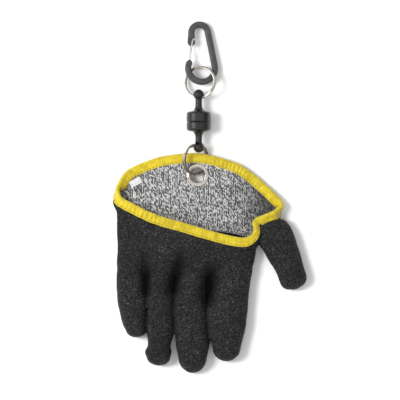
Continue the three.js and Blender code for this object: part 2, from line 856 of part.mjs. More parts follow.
// Release halves, cut by the cross holes
const lowerHalf = releaseHalf(lowerBody, lowerEye).rotateX(Math.PI).translate(releaseX, seamY, releaseRadius);
const upperHalf = releaseHalf(upperBody, upperEye).translate(releaseX, seamY, releaseRadius);
const lowerCut = geometryOf(solid(lowerHalf).subtract(crossHole(lowerWire)));
const upperCut = geometryOf(solid(upperHalf).subtract(crossHole(upperWire)));
assembly.add(named('release_lower', lowerCut, colours.plastic));
assembly.add(named('release_upper', upperCut, colours.plastic));

// Clip, in its own tilted frame
const clip = new THREE.Group();
clip.add(named('clip_body', clipBody(), colours.anodised));
clip.add(named('clip_gate', clipGate(), colours.steel));
lieOn(clip, clipSlope);
clip.position.copy(clipPlace);
assembly.add(clip);

// The origin is under the middle of the whole object, on the surface it lies on
const bounds = new THREE.Box3().setFromObject(assembly, true);
const middle = bounds.getCenter(new THREE.Vector3());
assembly.position.set(-middle.x, -middle.y, -bounds.min.z);
assembly.updateMatrixWorld(true);

const group = new THREE.Group();
group.add(assembly);

export default group;
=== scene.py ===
import math
import random

import bmesh
import bpy
import numpy as np
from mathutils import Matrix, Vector, noise
from mathutils.bvhtree import BVHTree


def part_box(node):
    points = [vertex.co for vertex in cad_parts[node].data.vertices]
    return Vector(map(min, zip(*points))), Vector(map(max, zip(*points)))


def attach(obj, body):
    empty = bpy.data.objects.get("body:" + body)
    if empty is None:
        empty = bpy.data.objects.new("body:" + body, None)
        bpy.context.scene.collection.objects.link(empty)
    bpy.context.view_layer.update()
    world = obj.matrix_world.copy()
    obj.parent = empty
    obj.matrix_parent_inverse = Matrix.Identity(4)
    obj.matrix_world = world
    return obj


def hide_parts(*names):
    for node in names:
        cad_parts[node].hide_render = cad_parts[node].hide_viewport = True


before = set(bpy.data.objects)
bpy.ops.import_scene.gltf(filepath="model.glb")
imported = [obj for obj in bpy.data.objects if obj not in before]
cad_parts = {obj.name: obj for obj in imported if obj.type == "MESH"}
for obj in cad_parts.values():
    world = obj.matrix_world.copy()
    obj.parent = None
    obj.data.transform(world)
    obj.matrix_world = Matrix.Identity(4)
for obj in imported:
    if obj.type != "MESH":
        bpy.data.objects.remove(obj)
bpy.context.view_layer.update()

# The glove is drawn in millimetres with +X to the thumb side, +Y to the clip and +Z up.
# The middle of the eyelet ties that drawing to the frame.
METRE = 1000
EYELET = np.array([-0.6, 52.4])
eyelet_low, eyelet_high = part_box("grommet_front")
ORIGIN = np.array([
    (eyelet_low.x + eyelet_high.x) / 2 * METRE - EYELET[0],
    (eyelet_low.y + eyelet_high.y) / 2 * METRE - EYELET[1],
    0.0,
])

# Glove, in millimetres; MOUTH_FLAT and the last three have no unit, and the thumb's lean is an angle
WALL = 1.8
PALM_WIDTH = 115.3
PALM_DEPTH = 19.0
PALM_LEFT = -68.9
FINGER_REACH = 87.5
KNUCKLE_DROP = 28.0
FINGER_GAP = 0.7
MOUTH_HALF = 71.4
MOUTH_HEIGHT = 71.0
MOUTH_FLAT = 4.0
FLAP_RISE = 8.2
LEVEL_HALF = 17.0
LEVEL_FADE = 14.0
LEVEL_FROM = 34.0
THUMB_LENGTH = 57.0
THUMB_WIDTH = 31.0
THUMB_DEPTH = 15.0
THUMB_LEAN = math.radians(18.7)
THUMB_ROOT = np.array([62.9, 9.35])
SECTION_POWER = 2.4
PRESS = 0.08
TIP_DEPTH = 0.35

# Binding, in millimetres
TAPE_WIDTH = 8.2
TAPE_THICK = 0.9
TAPE_GAP = 0.3
STRIP_END = 1.6

# The tape is narrower by a share at the notch, whose place and width are in degrees round the mouth
NOTCH_NARROW = 0.34
NOTCH_ROUND = 32.0
NOTCH_SPREAD = 7.0

# Cloth next to the tape: how much it turns down the hand at once, then how strongly and how soon
# its left side is drawn in, and to how many millimetres inside the palm's
LEAD_DOWN = 0.6
SIDE_DRAW = 0.95
SIDE_SOON = 5
SIDE_IN = 0.8

# The flap's part of the mouth in degrees, and the share of the mouth over which its direction is taken
FLAP_ROUND = (200, 340)
RUN_WINDOW = 0.04

# Steps; the voxel is in metres
MOUTH_STEPS = 384
STRIP_SHARES = (0.35, 0.7)
PALM_RINGS = 22
LINING_RINGS = 36
VOXEL = 0.00086


def table(columns, rows):
    return [dict(zip(columns, row)) for row in rows]


# round: place on the palm's section in degrees; the rest are shares of the mouth's and palm's sizes
MOUTH = table(("round", "across", "along", "up"), [
    (3, 0.940, 0.347, 0.63),
    (12, 0.881, 0.311, 0.70),
    (20, 0.762, 0.263, 0.76),
    (26, 0.679, 0.228, 0.80),
    (30, 0.643, 0.168, 0.83),
    (34, 0.655, 0.084, 0.86),
    (38, 0.613, 0.024, 0.88),
    (45, 0.524, 0.000, 0.90),
    (60, 0.321, 0.036, 0.93),
    (80, 0.060, 0.108, 0.95),
    (95, -0.179, 0.180, 0.95),
    (108, -0.429, 0.251, 0.92),
    (121, -0.607, 0.323, 0.86),
    (134, -0.738, 0.389, 0.78),
    (146, -0.833, 0.437, 0.72),
    (157, -0.903, 0.485, 0.67),
    (171, -0.932, 0.539, 0.62),
    (179, -0.950, 0.571, 0.58),
    (187, -0.955, 0.605, 0.54),
    (203, -0.925, 0.690, 0.42),
    (213, -0.872, 0.770, 0.34),
    (223, -0.774, 0.838, 0.29),
    (235, -0.571, 0.922, 0.33),
    (248, -0.357, 0.976, 0.41),
    (270, 0.024, 1.000, 0.43),
    (292, 0.405, 0.904, 0.40),
    (303, 0.560, 0.826, 0.33),
    (314, 0.690, 0.731, 0.27),
    (325, 0.810, 0.623, 0.30),
    (336, 0.912, 0.525, 0.36),
    (350, 0.990, 0.425, 0.47),
    (357, 0.992, 0.380, 0.55),
])

# along: share of the finger's reach past the knuckles; left and right: shares of the palm's width
PALM = table(("along", "left", "right", "depth"), [
    (-0.175, 0.007, 1.022, 1.00),
    (-0.060, 0.000, 1.004, 0.92),
    (0.040, 0.016, 0.975, 0.70),
    (0.117, 0.050, 0.930, 0.40),
    (0.275, 0.160, 0.840, 0.22),
])
LITTLE = table(("along", "left", "right"), [
    (-0.117, 0.015, 0.214),
    (0.000, 0.000, 0.221),
    (0.146, 0.000, 0.221),
    (0.291, 0.007, 0.221),
    (0.408, 0.022, 0.2175),
    (0.524, 0.044, 0.221),
    (0.583, 0.066, 0.221),
])
RING = table(("along", "left", "right"), [
    (-0.146, 0.236, 0.465),
    (0.000, 0.225, 0.442),
    (0.146, 0.2215, 0.424),
    (0.291, 0.2215, 0.4225),
    (0.602, 0.2235, 0.424),
    (0.718, 0.231, 0.4005),
    (0.786, 0.209, 0.4055),
    (0.835, 0.221, 0.398),
])
MIDDLE = table(("along", "left", "right"), [
    (-0.146, 0.479, 0.7006),
    (0.000, 0.446, 0.686),
    (0.146, 0.426, 0.6527),
    (0.291, 0.4226, 0.660),
    (0.485, 0.4226, 0.666),
    (0.680, 0.4314, 0.684),
    (0.757, 0.4366, 0.676),
    (0.835, 0.450, 0.664),
])
INDEX = table(("along", "left", "right"), [
    (-0.078, 0.715, 1.000),
    (0.000, 0.704, 1.000),
    (0.097, 0.686, 0.988),
    (0.291, 0.6637, 0.969),
    (0.466, 0.6667, 0.956),
    (0.583, 0.671, 0.9425),
    (0.680, 0.690, 0.925),
    (0.757, 0.705, 0.910),
])
THUMB = table(("along", "left", "right"), [
    (-0.080, -0.440, 0.200),
    (-0.030, -0.520, 0.370),
    (0.070, -0.548, 0.456),
    (0.164, -0.521, 0.483),
    (0.313, -0.441, 0.485),
    (0.522, -0.367, 0.474),
    (0.687, -0.310, 0.463),
    (0.836, -0.300, 0.452),
])
FINGERS = table(("rows", "tip", "depth"), [
    (LITTLE, 0.649, 0.84),
    (RING, 0.922, 0.86),
    (MIDDLE, 1.000, 0.88),
    (INDEX, 0.879, 0.88),
])

# Painted shade on the coat: the share of its colour that it keeps where it is low, and the heights over
# which it comes back
LOW_PAINTED_SHADE = 0.3
SHADE_START = 3
SHADE_RISE = 10

# Painted shade in the valleys: how much darker each millimetre of a valley makes the coat, and the least
# share that is kept there
VALLEY_PAINTED_SHADE = 0.2
VALLEY_LEAST = 0.25

# Valleys between the fingers' roots on the back of the hand: from its start to its end, width and depth
VALLEYS = table(("x0", "y0", "x1", "y1", "wide", "deep"), [
    (-43.6, -10.0, -43.6, -46.0, 4.4, 4.0),
    (-12.0, -6.0, -20.6, -44.0, 5.4, 5.0),
    (15.0, -18.0, 9.0, -52.0, 6.6, 5.6),
])


# Small tools

def metres(points):
    return (np.asarray(points, float) + ORIGIN) / METRE


def unit(vectors):
    return vectors / np.linalg.norm(vectors, axis=-1, keepdims=True)


def make_object(name, points, faces):
    mesh = bpy.data.meshes.new(name)
    mesh.from_pydata(metres(points).tolist(), [], faces)
    mesh.update()
    made = bpy.data.objects.new(name, mesh)
    bpy.context.scene.collection.objects.link(made)
    return made


def smooth(made, sharp=40):
    made.data.polygons.foreach_set("use_smooth", [True] * len(made.data.polygons))
    made.data.set_sharp_from_angle(angle=math.radians(sharp))
    return made


def grid_faces(rows, columns, loop_rows=False, loop_columns=True):
    faces = []
    for i in range(rows if loop_rows else rows - 1):
        here, there = i * columns, (i + 1) % rows * columns
        for j in range(columns if loop_columns else columns - 1):
            k = (j + 1) % columns
            faces.append((here + j, here + k, there + k, there + j))
    return faces


def skin(rings, looped=False, first=None, last=None):
    """Faces through equal rings of points; open ends are closed by an apex each."""
    rings = np.asarray(rings, float)
    rows, columns = rings.shape[:2]
    points = rings.reshape(-1, 3)
    faces = grid_faces(rows, columns, loop_rows=looped)
    if not looped:
        first = rings[0].mean(0) if first is None else first
        last = rings[-1].mean(0) if last is None else last
        points = np.vstack([points, [first, last]])
        base = (rows - 1) * columns
        for j in range(columns):
            k = (j + 1) % columns
            faces.append((rows * columns, k, j))
            faces.append((rows * columns + 1, base + j, base + k))
    return points, faces


def outward(made):
    """The object with its faces turned outwards."""
    work = bmesh.new()
    work.from_mesh(made.data)
    bmesh.ops.recalc_face_normals(work, faces=work.faces)
    work.to_mesh(made.data)
    work.free()
    return made


def applied(made):
    """The object with its modifiers made real."""
    graph = bpy.context.evaluated_depsgraph_get()
    mesh = bpy.data.meshes.new_from_object(made.evaluated_get(graph))
    made.modifiers.clear()
    old, made.data = made.data, mesh
    bpy.data.meshes.remove(old)
    return made


def cut(made, *cutters):
    for cutter in cutters:
        knife = made.modifiers.new("cut", "BOOLEAN")
        knife.operation = "DIFFERENCE"
        knife.solver = "EXACT"
        knife.object = cutter
    applied(made)
    for cutter in cutters:
        bpy.data.objects.remove(cutter)
    return made


def set_shade(made, shade):
    """The grey of each point, which some looks multiply their colour by: painted shade on the coat, the
    grey of each yarn in the knit.
    """
    tint = made.data.color_attributes.new("shade", "FLOAT_COLOR", "POINT")
    tint.data.foreach_set("color", np.column_stack([shade, shade, shade, np.ones_like(shade)]).ravel())


def joined(name, parts):
    """One mesh from lists of points and faces, each with its own shade."""
    points, faces, shades = [], [], []
    count = 0
    for part_points, part_faces, shade in parts:
        points.append(part_points)
        faces.extend(tuple(count + i for i in face) for face in part_faces)
        shades.append(np.full(len(part_points), shade))
        count += len(part_points)
    made = make_object(name, np.vstack(points), faces)
    set_shade(made, np.concatenate(shades))
    return made


def spline(values, samples, closed):
    """Smooth curve through the rows of values, at samples counted in rows."""
    values = np.asarray(values, float)
    count = len(values)
    samples = np.asarray(samples, float)
    start = np.floor(samples).astype(int)
    if not closed:
        start = np.clip(start, 0, count - 2)
    t = (samples - start)[:, None]

    def row(shift):
        place = start + shift
        if closed:
            return values[place % count]
        picked = values[np.clip(place, 0, count - 1)]
        picked[place < 0] = 2 * values[0] - values[1]
        picked[place > count - 1] = 2 * values[-1] - values[-2]
        return picked

    a, b, c, d = row(-1), row(0), row(1), row(2)
    square = 2 * a - 5 * b + 4 * c - d
    cube = 3 * b - a - 3 * c + d
    return 0.5 * (2 * b + (c - a) * t + square * t**2 + cube * t**3)


def ease(t):
    t = np.clip(t, 0, 1)
    return t * t * (3 - 2 * t)


# Cloth shapes

def section(angles, left, right, depth, y, inset):
    """Points of a cloth tube's section: a rounded box that is flat where it rests."""
    c, s = np.cos(angles), np.sin(angles)
    bend = 2 / SECTION_POWER
    half = (right - left) / 2 - inset
    high = depth / 2 - inset
    side = np.sign(c) * np.abs(c) ** bend
    rise = np.sign(s) * np.abs(s) ** bend
    press = np.where(rise < 0, 1 + 2 * PRESS, 1)
    z = np.maximum(0, high + high * rise * press) + inset
    x = (left + right) / 2 + half * side
    return np.stack([x, np.full_like(x, y), z], axis=-1)


def tube(rows, tip, depth, base, width, length, spare, sides=44, steps=46, dome=12):
    """A finger: a loft through its rows that ends in a round tip."""
    data = [(row["along"], row["left"], row["right"]) for row in rows]
    spine = spline(data, np.linspace(0, len(rows) - 1, steps), closed=False)
    angles = (np.arange(sides) + 0.5) * 2 * math.pi / sides

    def ring(along, left, right, share):
        middle = (left + right) / 2
        low = base + width * (middle + (left - middle) * share) + spare
        high = base + width * (middle + (right - middle) * share) - spare
        deep = depth * (TIP_DEPTH + (1 - TIP_DEPTH) * share)
        return section(angles, low, high, deep, -along * length, 0)

    rings = [ring(*row, 1) for row in spine]
    last = spine[-1]
    for k in range(1, dome):
        turn = k / dome * math.pi / 2
        rings.append(ring(last[0] + (tip - last[0]) * math.sin(turn), last[1], last[2], math.cos(turn)))
    end = rings[-1].mean(0)
    end[1] = -tip * length
    return skin(rings, last=end)


def finger(rows, tip, depth):
    points, faces = tube(
        rows, tip, depth * PALM_DEPTH, PALM_LEFT, PALM_WIDTH, FINGER_REACH, FINGER_GAP / 2)
    return points - [0, KNUCKLE_DROP, 0], faces


def thumb():
    points, faces = tube(THUMB, 1.0, THUMB_DEPTH, 0, THUMB_WIDTH, THUMB_LENGTH, 0)
    c, s = math.cos(THUMB_LEAN), math.sin(THUMB_LEAN)
    turned = points @ np.array([[c, s, 0], [-s, c, 0], [0, 0, 1]])
    return turned + [*THUMB_ROOT, 0], faces


def level(points, side):
    """The flap is level round the eyelet."""
    across = np.maximum(0, np.abs(points[:, 0] - EYELET[0]) - LEVEL_HALF) / LEVEL_FADE
    along = np.maximum(0, LEVEL_FROM - points[:, 1]) / LEVEL_FADE
    keep = ease(np.hypot(across, along))
    made = points.copy()
    made[:, 2] = FLAP_RISE + side + (points[:, 2] - FLAP_RISE - side) * keep
    return made


class Mouth:
    """Frames along the mouth: place, way along it, into the cloth and out of the cloth."""

    def __init__(self, steps):
        rows = [
            (r["across"] * MOUTH_HALF, r["along"] * MOUTH_HEIGHT, r["up"] * PALM_DEPTH)
            for r in MOUTH
        ]
        rounds = np.array([r["round"] for r in MOUTH] + [MOUTH[0]["round"] + 360], float)
        u = np.arange(steps) / steps * len(MOUTH)
        window = RUN_WINDOW * len(MOUTH)
        self.round = np.interp(u, np.arange(len(MOUTH) + 1), rounds)
        self.flap = (self.round > FLAP_ROUND[0]) & (self.round < FLAP_ROUND[1])
        self.place = self.settle(spline(rows, u, closed=True), 0)
        ahead = spline(rows, u + window, closed=True)
        behind = spline(rows, u - window + len(MOUTH), closed=True)
        self.run = unit(ahead - behind)
        angle = np.radians(self.round)
        out = unit(np.stack([np.cos(angle), 0 * angle, MOUTH_FLAT * np.sin(angle)], axis=-1))
        self.out = unit(out - (out * self.run).sum(1, keepdims=True) * self.run)
        self.into = np.cross(self.out, self.run)
        notch = np.exp(-((self.round - NOTCH_ROUND) / NOTCH_SPREAD) ** 2)
        self.tape = TAPE_WIDTH * (1 - NOTCH_NARROW * notch)
        self.angle = angle
        steps_long = np.linalg.norm(np.roll(self.place, -1, axis=0) - self.place, axis=1)
        self.length = np.concatenate([[0], np.cumsum(steps_long)])

    def settle(self, points, side):
        return np.where(self.flap[:, None], level(points, -side), points)

    def at(self, into, out):
        into = np.broadcast_to(into, self.round.shape)[:, None]
        out = np.broadcast_to(out, self.round.shape)[:, None]
        return self.place + self.into * into + self.out * out


mouth = Mouth(MOUTH_STEPS)


def sleeve(inset, steps=26):
    """Rings of the cloth from the mouth to the fingers' roots."""
    side = -WALL / 2 if inset else WALL / 2
    start = TAPE_THICK + TAPE_GAP
    strip = mouth.settle(mouth.at(mouth.tape + STRIP_END, side), side)
    rings = [mouth.settle(mouth.at(start, side), side)]
    for share in STRIP_SHARES:
        into = start + (mouth.tape + STRIP_END - start) * share
        rings.append(mouth.settle(mouth.at(into, side), side))
    rings.append(strip)

    def row_ring(row):
        along, left, right, depth = row
        return section(
            mouth.angle, PALM_LEFT + left * PALM_WIDTH, PALM_LEFT + right * PALM_WIDTH,
            depth * PALM_DEPTH, -KNUCKLE_DROP - along * FINGER_REACH, inset)

    data = [tuple(row.values()) for row in PALM]
    target = row_ring(data[0])
    pull = np.abs(strip[:, 1:2] - target[:, 1:2])
    down = np.array([0, -1.0, 0])
    lead = mouth.into * (1 - LEAD_DOWN) + down * LEAD_DOWN
    for t in np.linspace(0, 1, steps)[1:-1]:
        point = strip * (2 * t**3 - 3 * t**2 + 1) + lead * pull * (t**3 - 2 * t**2 + t)
        point = point + target * (3 * t**2 - 2 * t**3) + down * pull * (t**3 - t**2)
        point[:, 2] = np.maximum(point[:, 2], inset)
        beyond = np.maximum(0, PALM_LEFT + SIDE_IN + inset - point[:, 0])
        point[:, 0] += beyond * SIDE_DRAW * ease(t * SIDE_SOON)
        rings.append(mouth.settle(point, side))
    rings.append(target)
    for row in spline(data, np.linspace(0, len(data) - 1, PALM_RINGS)[1:], closed=False):
        rings.append(row_ring(row))
    return rings


def valley_depth(points):
    deep = np.zeros(len(points))
    for row in VALLEYS:
        start = np.array([row["x0"], row["y0"]])
        run = np.array([row["x1"], row["y1"]]) - start
        t = ((points[:, :2] - start) @ run) / (run @ run)
        nearest = start + np.clip(t, 0, 1)[:, None] * run
        away = np.linalg.norm(points[:, :2] - nearest, axis=1) / row["wide"]
        deep += row["deep"] * np.exp(-away**2) * ease(t * 1.6 + 0.1)
    return deep


# Coat: a remeshed point near enough to a loft isn't measured again, and one beyond the limit goes
NEAR_ENOUGH = 0.3
NEAR_LIMIT = 0.8
NEAR_SEARCH = 2.0
COAT_HOLE = 7.8
RELAX_ROUNDS = 14
RELAX_SHARE = 0.5
GROW_BACK = 0.94
EDGE_MOVES = 0.3

# Relief of the coat: the size of each noise and its height
DENT_SIZE = 22
DENT_HEIGHT = 0.55
FOLD_SIZE = np.array([7, 11, 7])
FOLD_HEIGHT = 0.35
GRAIN_SIZE = 2.6
GRAIN_HEIGHT = 0.11


def tree(points, faces):
    return BVHTree.FromPolygons([tuple(p) for p in points], faces)


def open_edge_faces(rings):
    rings = np.asarray(rings)
    return rings.reshape(-1, 3), grid_faces(*rings.shape[:2])


def coat_skin():
    """The coated outside of the glove: lofts grown together, opened at the mouth and the eyelet."""
    outer = sleeve(0)
    inner_edge = mouth.settle(mouth.at(TAPE_THICK + TAPE_GAP, -WALL / 2), -WALL / 2)
    apex = inner_edge.mean(0) - [0, 5, 3]
    lofts = [skin([inner_edge, *outer], first=apex)]
    lofts += [finger(**row) for row in FINGERS]
    lofts.append(thumb())
    parts = [(points, faces, 0.0) for points, faces in lofts]
    made = outward(joined("glove_skin", parts))
    grow = made.modifiers.new("grow", "REMESH")
    grow.mode = "VOXEL"
    grow.voxel_size = VOXEL
    grow.adaptivity = 0
    applied(made)

    points = np.empty(len(made.data.vertices) * 3)
    made.data.vertices.foreach_get("co", points)
    points = points.reshape(-1, 3) * METRE - ORIGIN
    faces = [tuple(p.vertices) for p in made.data.polygons]
    wanted = [tree(*open_edge_faces(outer))] + [tree(p, f) for p, f in lofts[1:]]
    near = np.full(len(points), np.inf)
    for branch in wanted:
        for i, point in enumerate(points):
            if near[i] > NEAR_ENOUGH:
                found = branch.find_nearest(Vector(point), NEAR_SEARCH)
                if found[3] is not None:
                    near[i] = min(near[i], found[3])
    hole = np.hypot(points[:, 0] - EYELET[0], points[:, 1] - EYELET[1]) < COAT_HOLE
    keep = (near < NEAR_LIMIT) & ~hole
    faces = [face for face in faces if all(keep[i] for i in face)]
    used = np.unique(np.array(faces).ravel())
    place = np.full(len(points), -1)
    place[used] = np.arange(len(used))
    points = points[used]
    faces = [tuple(int(place[i]) for i in face) for face in faces]
    bpy.data.objects.remove(made)
    points = relax(points, faces)
    points = crumple(points, faces)
    made = make_object("glove_skin", points, faces)
    # Painted shade: the coat darkens towards the floor at its sides and in the valleys between the
    # fingers' roots
    shade = LOW_PAINTED_SHADE + (1 - LOW_PAINTED_SHADE) * ease((points[:, 2] - SHADE_START) / SHADE_RISE)
    shade *= np.clip(1.1 - VALLEY_PAINTED_SHADE * valley_depth(points), VALLEY_LEAST, 1)
    set_shade(made, shade)
    return made


def neighbours(faces, count):
    edges = set()
    for face in faces:
        for a, b in zip(face, face[1:] + face[:1]):
            edges.add((min(a, b), max(a, b)))
    edges = np.array(list(edges))
    degree = np.bincount(edges.ravel(), minlength=count).astype(float)
    return edges, degree


def border(faces, count):
    """True for points on an open edge."""
    seen = {}
    for face in faces:
        for a, b in zip(face, face[1:] + face[:1]):
            key = (min(a, b), max(a, b))
            seen[key] = seen.get(key, 0) + 1
    on_edge = np.zeros(count, bool)
    for (a, b), times in seen.items():
        if times == 1:
            on_edge[a] = on_edge[b] = True
    return on_edge


def relax(points, faces):
    """The points smoothed towards their neighbours, with open edges nearly in place."""
    edges, degree = neighbours(faces, len(points))
    held = border(faces, len(points))
    points = points.copy()
    for step in range(RELAX_ROUNDS):
        total = np.zeros_like(points)
        np.add.at(total, edges[:, 0], points[edges[:, 1]])
        np.add.at(total, edges[:, 1], points[edges[:, 0]])
        move = total / degree[:, None] - points
        move[held] *= EDGE_MOVES
        # every second step grows back, so that the form keeps its size
        points += move * (RELAX_SHARE if step % 2 == 0 else -RELAX_SHARE * GROW_BACK)
    return points


def normals_of(points, faces):
    quads = np.array([face for face in faces if len(face) == 4])
    a, b, c, d = (points[quads[:, i]] for i in range(4))
    face_normals = np.cross(c - a, d - b)
    normals = np.zeros_like(points)
    for i in range(4):
        np.add.at(normals, quads[:, i], face_normals)
    lengths = np.linalg.norm(normals, axis=1, keepdims=True)
    return normals / np.maximum(lengths, 1e-9)


def crumple(points, faces):
    """Valleys between the fingers, soft dents, and the fine crinkle of the coat."""
    normals = normals_of(points, faces)
    if (normals[points[:, 2] > PALM_DEPTH * 0.6][:, 2]).mean() < 0:
        normals = -normals
    top = ease((normals[:, 2] - 0.1) / 0.6) * ease((points[:, 2] - 5) / 6)
    points = points.copy()
    points[:, 2] -= valley_depth(points) * top
    soft = np.array([noise.noise(Vector(p / DENT_SIZE)) for p in points])
    folds = np.array([noise.fractal(Vector(p / FOLD_SIZE), 0.9, 2.1, 3) for p in points])
    fine = np.array([1 - 2 * abs(noise.noise(Vector(p / GRAIN_SIZE))) for p in points])
    free = ease((points[:, 2] - 0.4) / 2.0)
    amount = DENT_HEIGHT * soft + FOLD_HEIGHT * folds + GRAIN_HEIGHT * fine
    points += normals * (amount * free)[:, None]
    points[:, 2] = np.maximum(points[:, 2], 0.0)
    return points


# The eyelet's hole is only in the lower wall, which lies under this height
LINING_HOLE = 7.7
LOWER_WALL = 12


def lining():
    """The knit inside: the cloth's inner face from under the tape to short of the fingers' roots."""
    rings = np.asarray(sleeve(WALL, steps=44)[:LINING_RINGS])
    points, faces = open_edge_faces(rings)
    near_hole = np.hypot(points[:, 0] - EYELET[0], points[:, 1] - EYELET[1]) < LINING_HOLE
    faces = [face for face in faces if not all(near_hole[i] and points[i, 2] < LOWER_WALL for i in face)]
    return make_object("knit_lining", points, faces), tree(points, faces)


# Ends of a thread: the angle at which its round end starts, and the share of its radius beyond it
THREAD_END = 0.12
THREAD_CAP = 0.4


def capsule(start, end, radius, sides, rings, squash=1.0):
    """A short thread with round ends."""
    start, end = np.asarray(start, float), np.asarray(end, float)
    run = unit(end - start)
    side = unit(np.cross(run, [0, 0, 1.0]))
    other = np.cross(side, run)
    turns = np.arange(sides) * 2 * math.pi / sides
    shape = side[None] * np.cos(turns)[:, None] + other[None] * np.sin(turns)[:, None] * squash
    spread = np.sin(np.linspace(THREAD_END, math.pi - THREAD_END, rings)) ** 0.5
    places = start + (end - start) * np.linspace(0, 1, rings)[:, None]
    body = [place + shape * radius * share for place, share in zip(places, spread)]
    return skin(body, first=start - run * radius * THREAD_CAP, last=end + run * radius * THREAD_CAP)


# Knit of the lining on the open flap
WALE = 1.9
COURSE = 1.2
YARN = 0.42
LEAN = 0.3
STRAY = 0.36
SHADE_FROM = 22.0
SHADE_LONG = 40.0
SHADE_LOSS = 0.85
KNIT_SEED = 7
KNIT_X = (-70, 66)
KNIT_Y = (-16, 72)
JITTER = ((-0.1, 0.1), (-0.1, 0.1), (-0.05, 0.12))
DARK_YARN = (0.04, 0.2)
LIGHT_YARN = (0.46, 0.88)

# A leg's foot and head: shares of a wale to the side, of a course along, and the longest leg in courses
FOOT_OUT = 0.12
HEAD_OUT = 0.40
LEG_REACH = 0.75
LONGEST_LEG = 2.2

# Where stitches are laid: clear of the eyelet, found from under the upper wall, on no steep slope
EYELET_CLEAR = 9.0
PROBE_HIGH = 13.0
PROBE_LOW = 10.5
PROBE_HIGH_FROM = 12
STEEPEST = 0.35
STITCH_LIFT = 0.12


def knit_stitches(floor):
    """Rows of stitches, two legs each, laid on the lining where the flap lies open."""
    pick = random.Random(KNIT_SEED)
    parts = []
    for i in range(int(KNIT_X[0] / WALE), int(KNIT_X[1] / WALE)):
        for j in range(int(KNIT_Y[0] / COURSE), int(KNIT_Y[1] / COURSE)):
            x, y = i * WALE, j * COURSE + (0.5 * COURSE if i % 2 else 0)
            legs = []
            for side in (-1, 1):
                foot = probe(floor, x + side * FOOT_OUT * WALE + LEAN * COURSE, y - LEG_REACH * COURSE)
                head = probe(floor, x + side * HEAD_OUT * WALE - LEAN * COURSE, y + LEG_REACH * COURSE)
                if foot is None or head is None:
                    continue
                if np.linalg.norm(foot - head) < LONGEST_LEG * COURSE:
                    legs.append((side, foot, head))
            loss = 1 - SHADE_LOSS * ease((x - SHADE_FROM) / SHADE_LONG)
            for side, foot, head in legs:
                dark = (side < 0) != (pick.random() < STRAY)
                shade = loss * pick.uniform(*(DARK_YARN if dark else LIGHT_YARN))
                jitter = np.array([pick.uniform(low, high) for low, high in JITTER])
                points, faces = capsule(foot + jitter, head + jitter, YARN, sides=4, rings=3, squash=0.7)
                parts.append((points, faces, shade))
    return joined("knit_stitches", parts)


def probe(floor, x, y):
    """Point on the lining's lower wall under the mouth, or None."""
    if math.hypot(x - EYELET[0], y - EYELET[1]) < EYELET_CLEAR:
        return None
    start = PROBE_HIGH if y > PROBE_HIGH_FROM else PROBE_LOW
    hit = floor.ray_cast(Vector((x, y, start)), Vector((0, 0, -1)))
    if hit[0] is None or abs(hit[1].z) < STEEPEST:
        return None
    return np.array(hit[0]) + np.array([0, 0, STITCH_LIFT])


# Binding tape: the puckers' pitch, their height everywhere and where they are strong, and the wander
HEM_STEPS = 900
PUCKER_PITCH = 3.7
PUCKER_LEAST = 0.12
PUCKER_MORE = 0.42
TAPE_WANDER = 0.16
hem = Mouth(HEM_STEPS)


def tape_bulge(out_sign):
    """How far the puckered tape stands off the cloth along the mouth."""
    x = hem.place[:, 0]
    front = hem.round < 180
    ribbed = np.where(front, np.exp(-((x + 40) / 14) ** 2), np.exp(-((x - 22) / 16) ** 2) * hem.flap)
    along = hem.length[:-1]
    wander = np.array([noise.noise(Vector((s / 9, out_sign * 3.0, 0))) for s in along])
    ribs = np.sin(along * 2 * math.pi / PUCKER_PITCH + 3 * wander)
    return ribs * (PUCKER_LEAST + PUCKER_MORE * ribbed) + TAPE_WANDER * wander


def binding():
    outer = WALL / 2 + TAPE_GAP + TAPE_THICK
    inner = WALL / 2 + TAPE_GAP * 0.3
    edge_noise = np.array([noise.noise(Vector((s / 6, 0, 5))) for s in hem.length[:-1]])
    tape = hem.tape + 0.3 * edge_noise
    columns = []
    across = []
    for sign in (1, -1):
        bulge = tape_bulge(sign)
        spots = [(1.0, 0.0), (0.985, 0.9), (0.9, 1.0), (0.72, 1.0), (0.55, 1.0), (0.4, 1.0), (0.28, 1.0)]
        spots = spots if sign > 0 else spots[::-1]
        for share, rise in spots:
            swell = math.sin(math.pi * min(1, share * 1.05)) ** 0.7 if share < 0.98 else 0.1
            level_out = inner + (outer - inner) * rise + bulge * swell * rise
            columns.append(hem.at(tape * share, sign * level_out))
            across.append(sign * share)
        if sign > 0:
            for turn in np.linspace(72, -72, 9):
                a = math.radians(turn)
                columns.append(hem.at(2.1 * (1 - math.cos(a)), outer * math.sin(a)))
                across.append(turn / 400)
    for share in (0.97, 0.6, 0.3):
        columns.append(hem.at(tape * share, -inner))
        across.append(-share)
    columns.append(hem.at(TAPE_THICK, 0))
    across.append(0)
    for share in (0.3, 0.6, 0.97):
        columns.append(hem.at(tape * share, inner))
        across.append(share)
    rings = np.stack(columns, axis=1)
    points, faces = skin(rings, looped=True)
    made = outward(make_object("binding", points, faces))
    layer = made.data.uv_layers.new(name="cloth")
    count = len(across)
    along = hem.length[:-1]
    for loop in made.data.loops:
        row, column = divmod(loop.vertex_index, count)
        layer.data[loop.index].uv = (along[row] / 10, across[column] * TAPE_WIDTH / 10)
    return made


# Sewing thread: a stitch's length, the pitch, the radius, and the way in from the tape's edge
STITCH = 2.1
STITCH_PITCH = 3.0
THREAD = 0.32
STITCH_INSET = 1.35


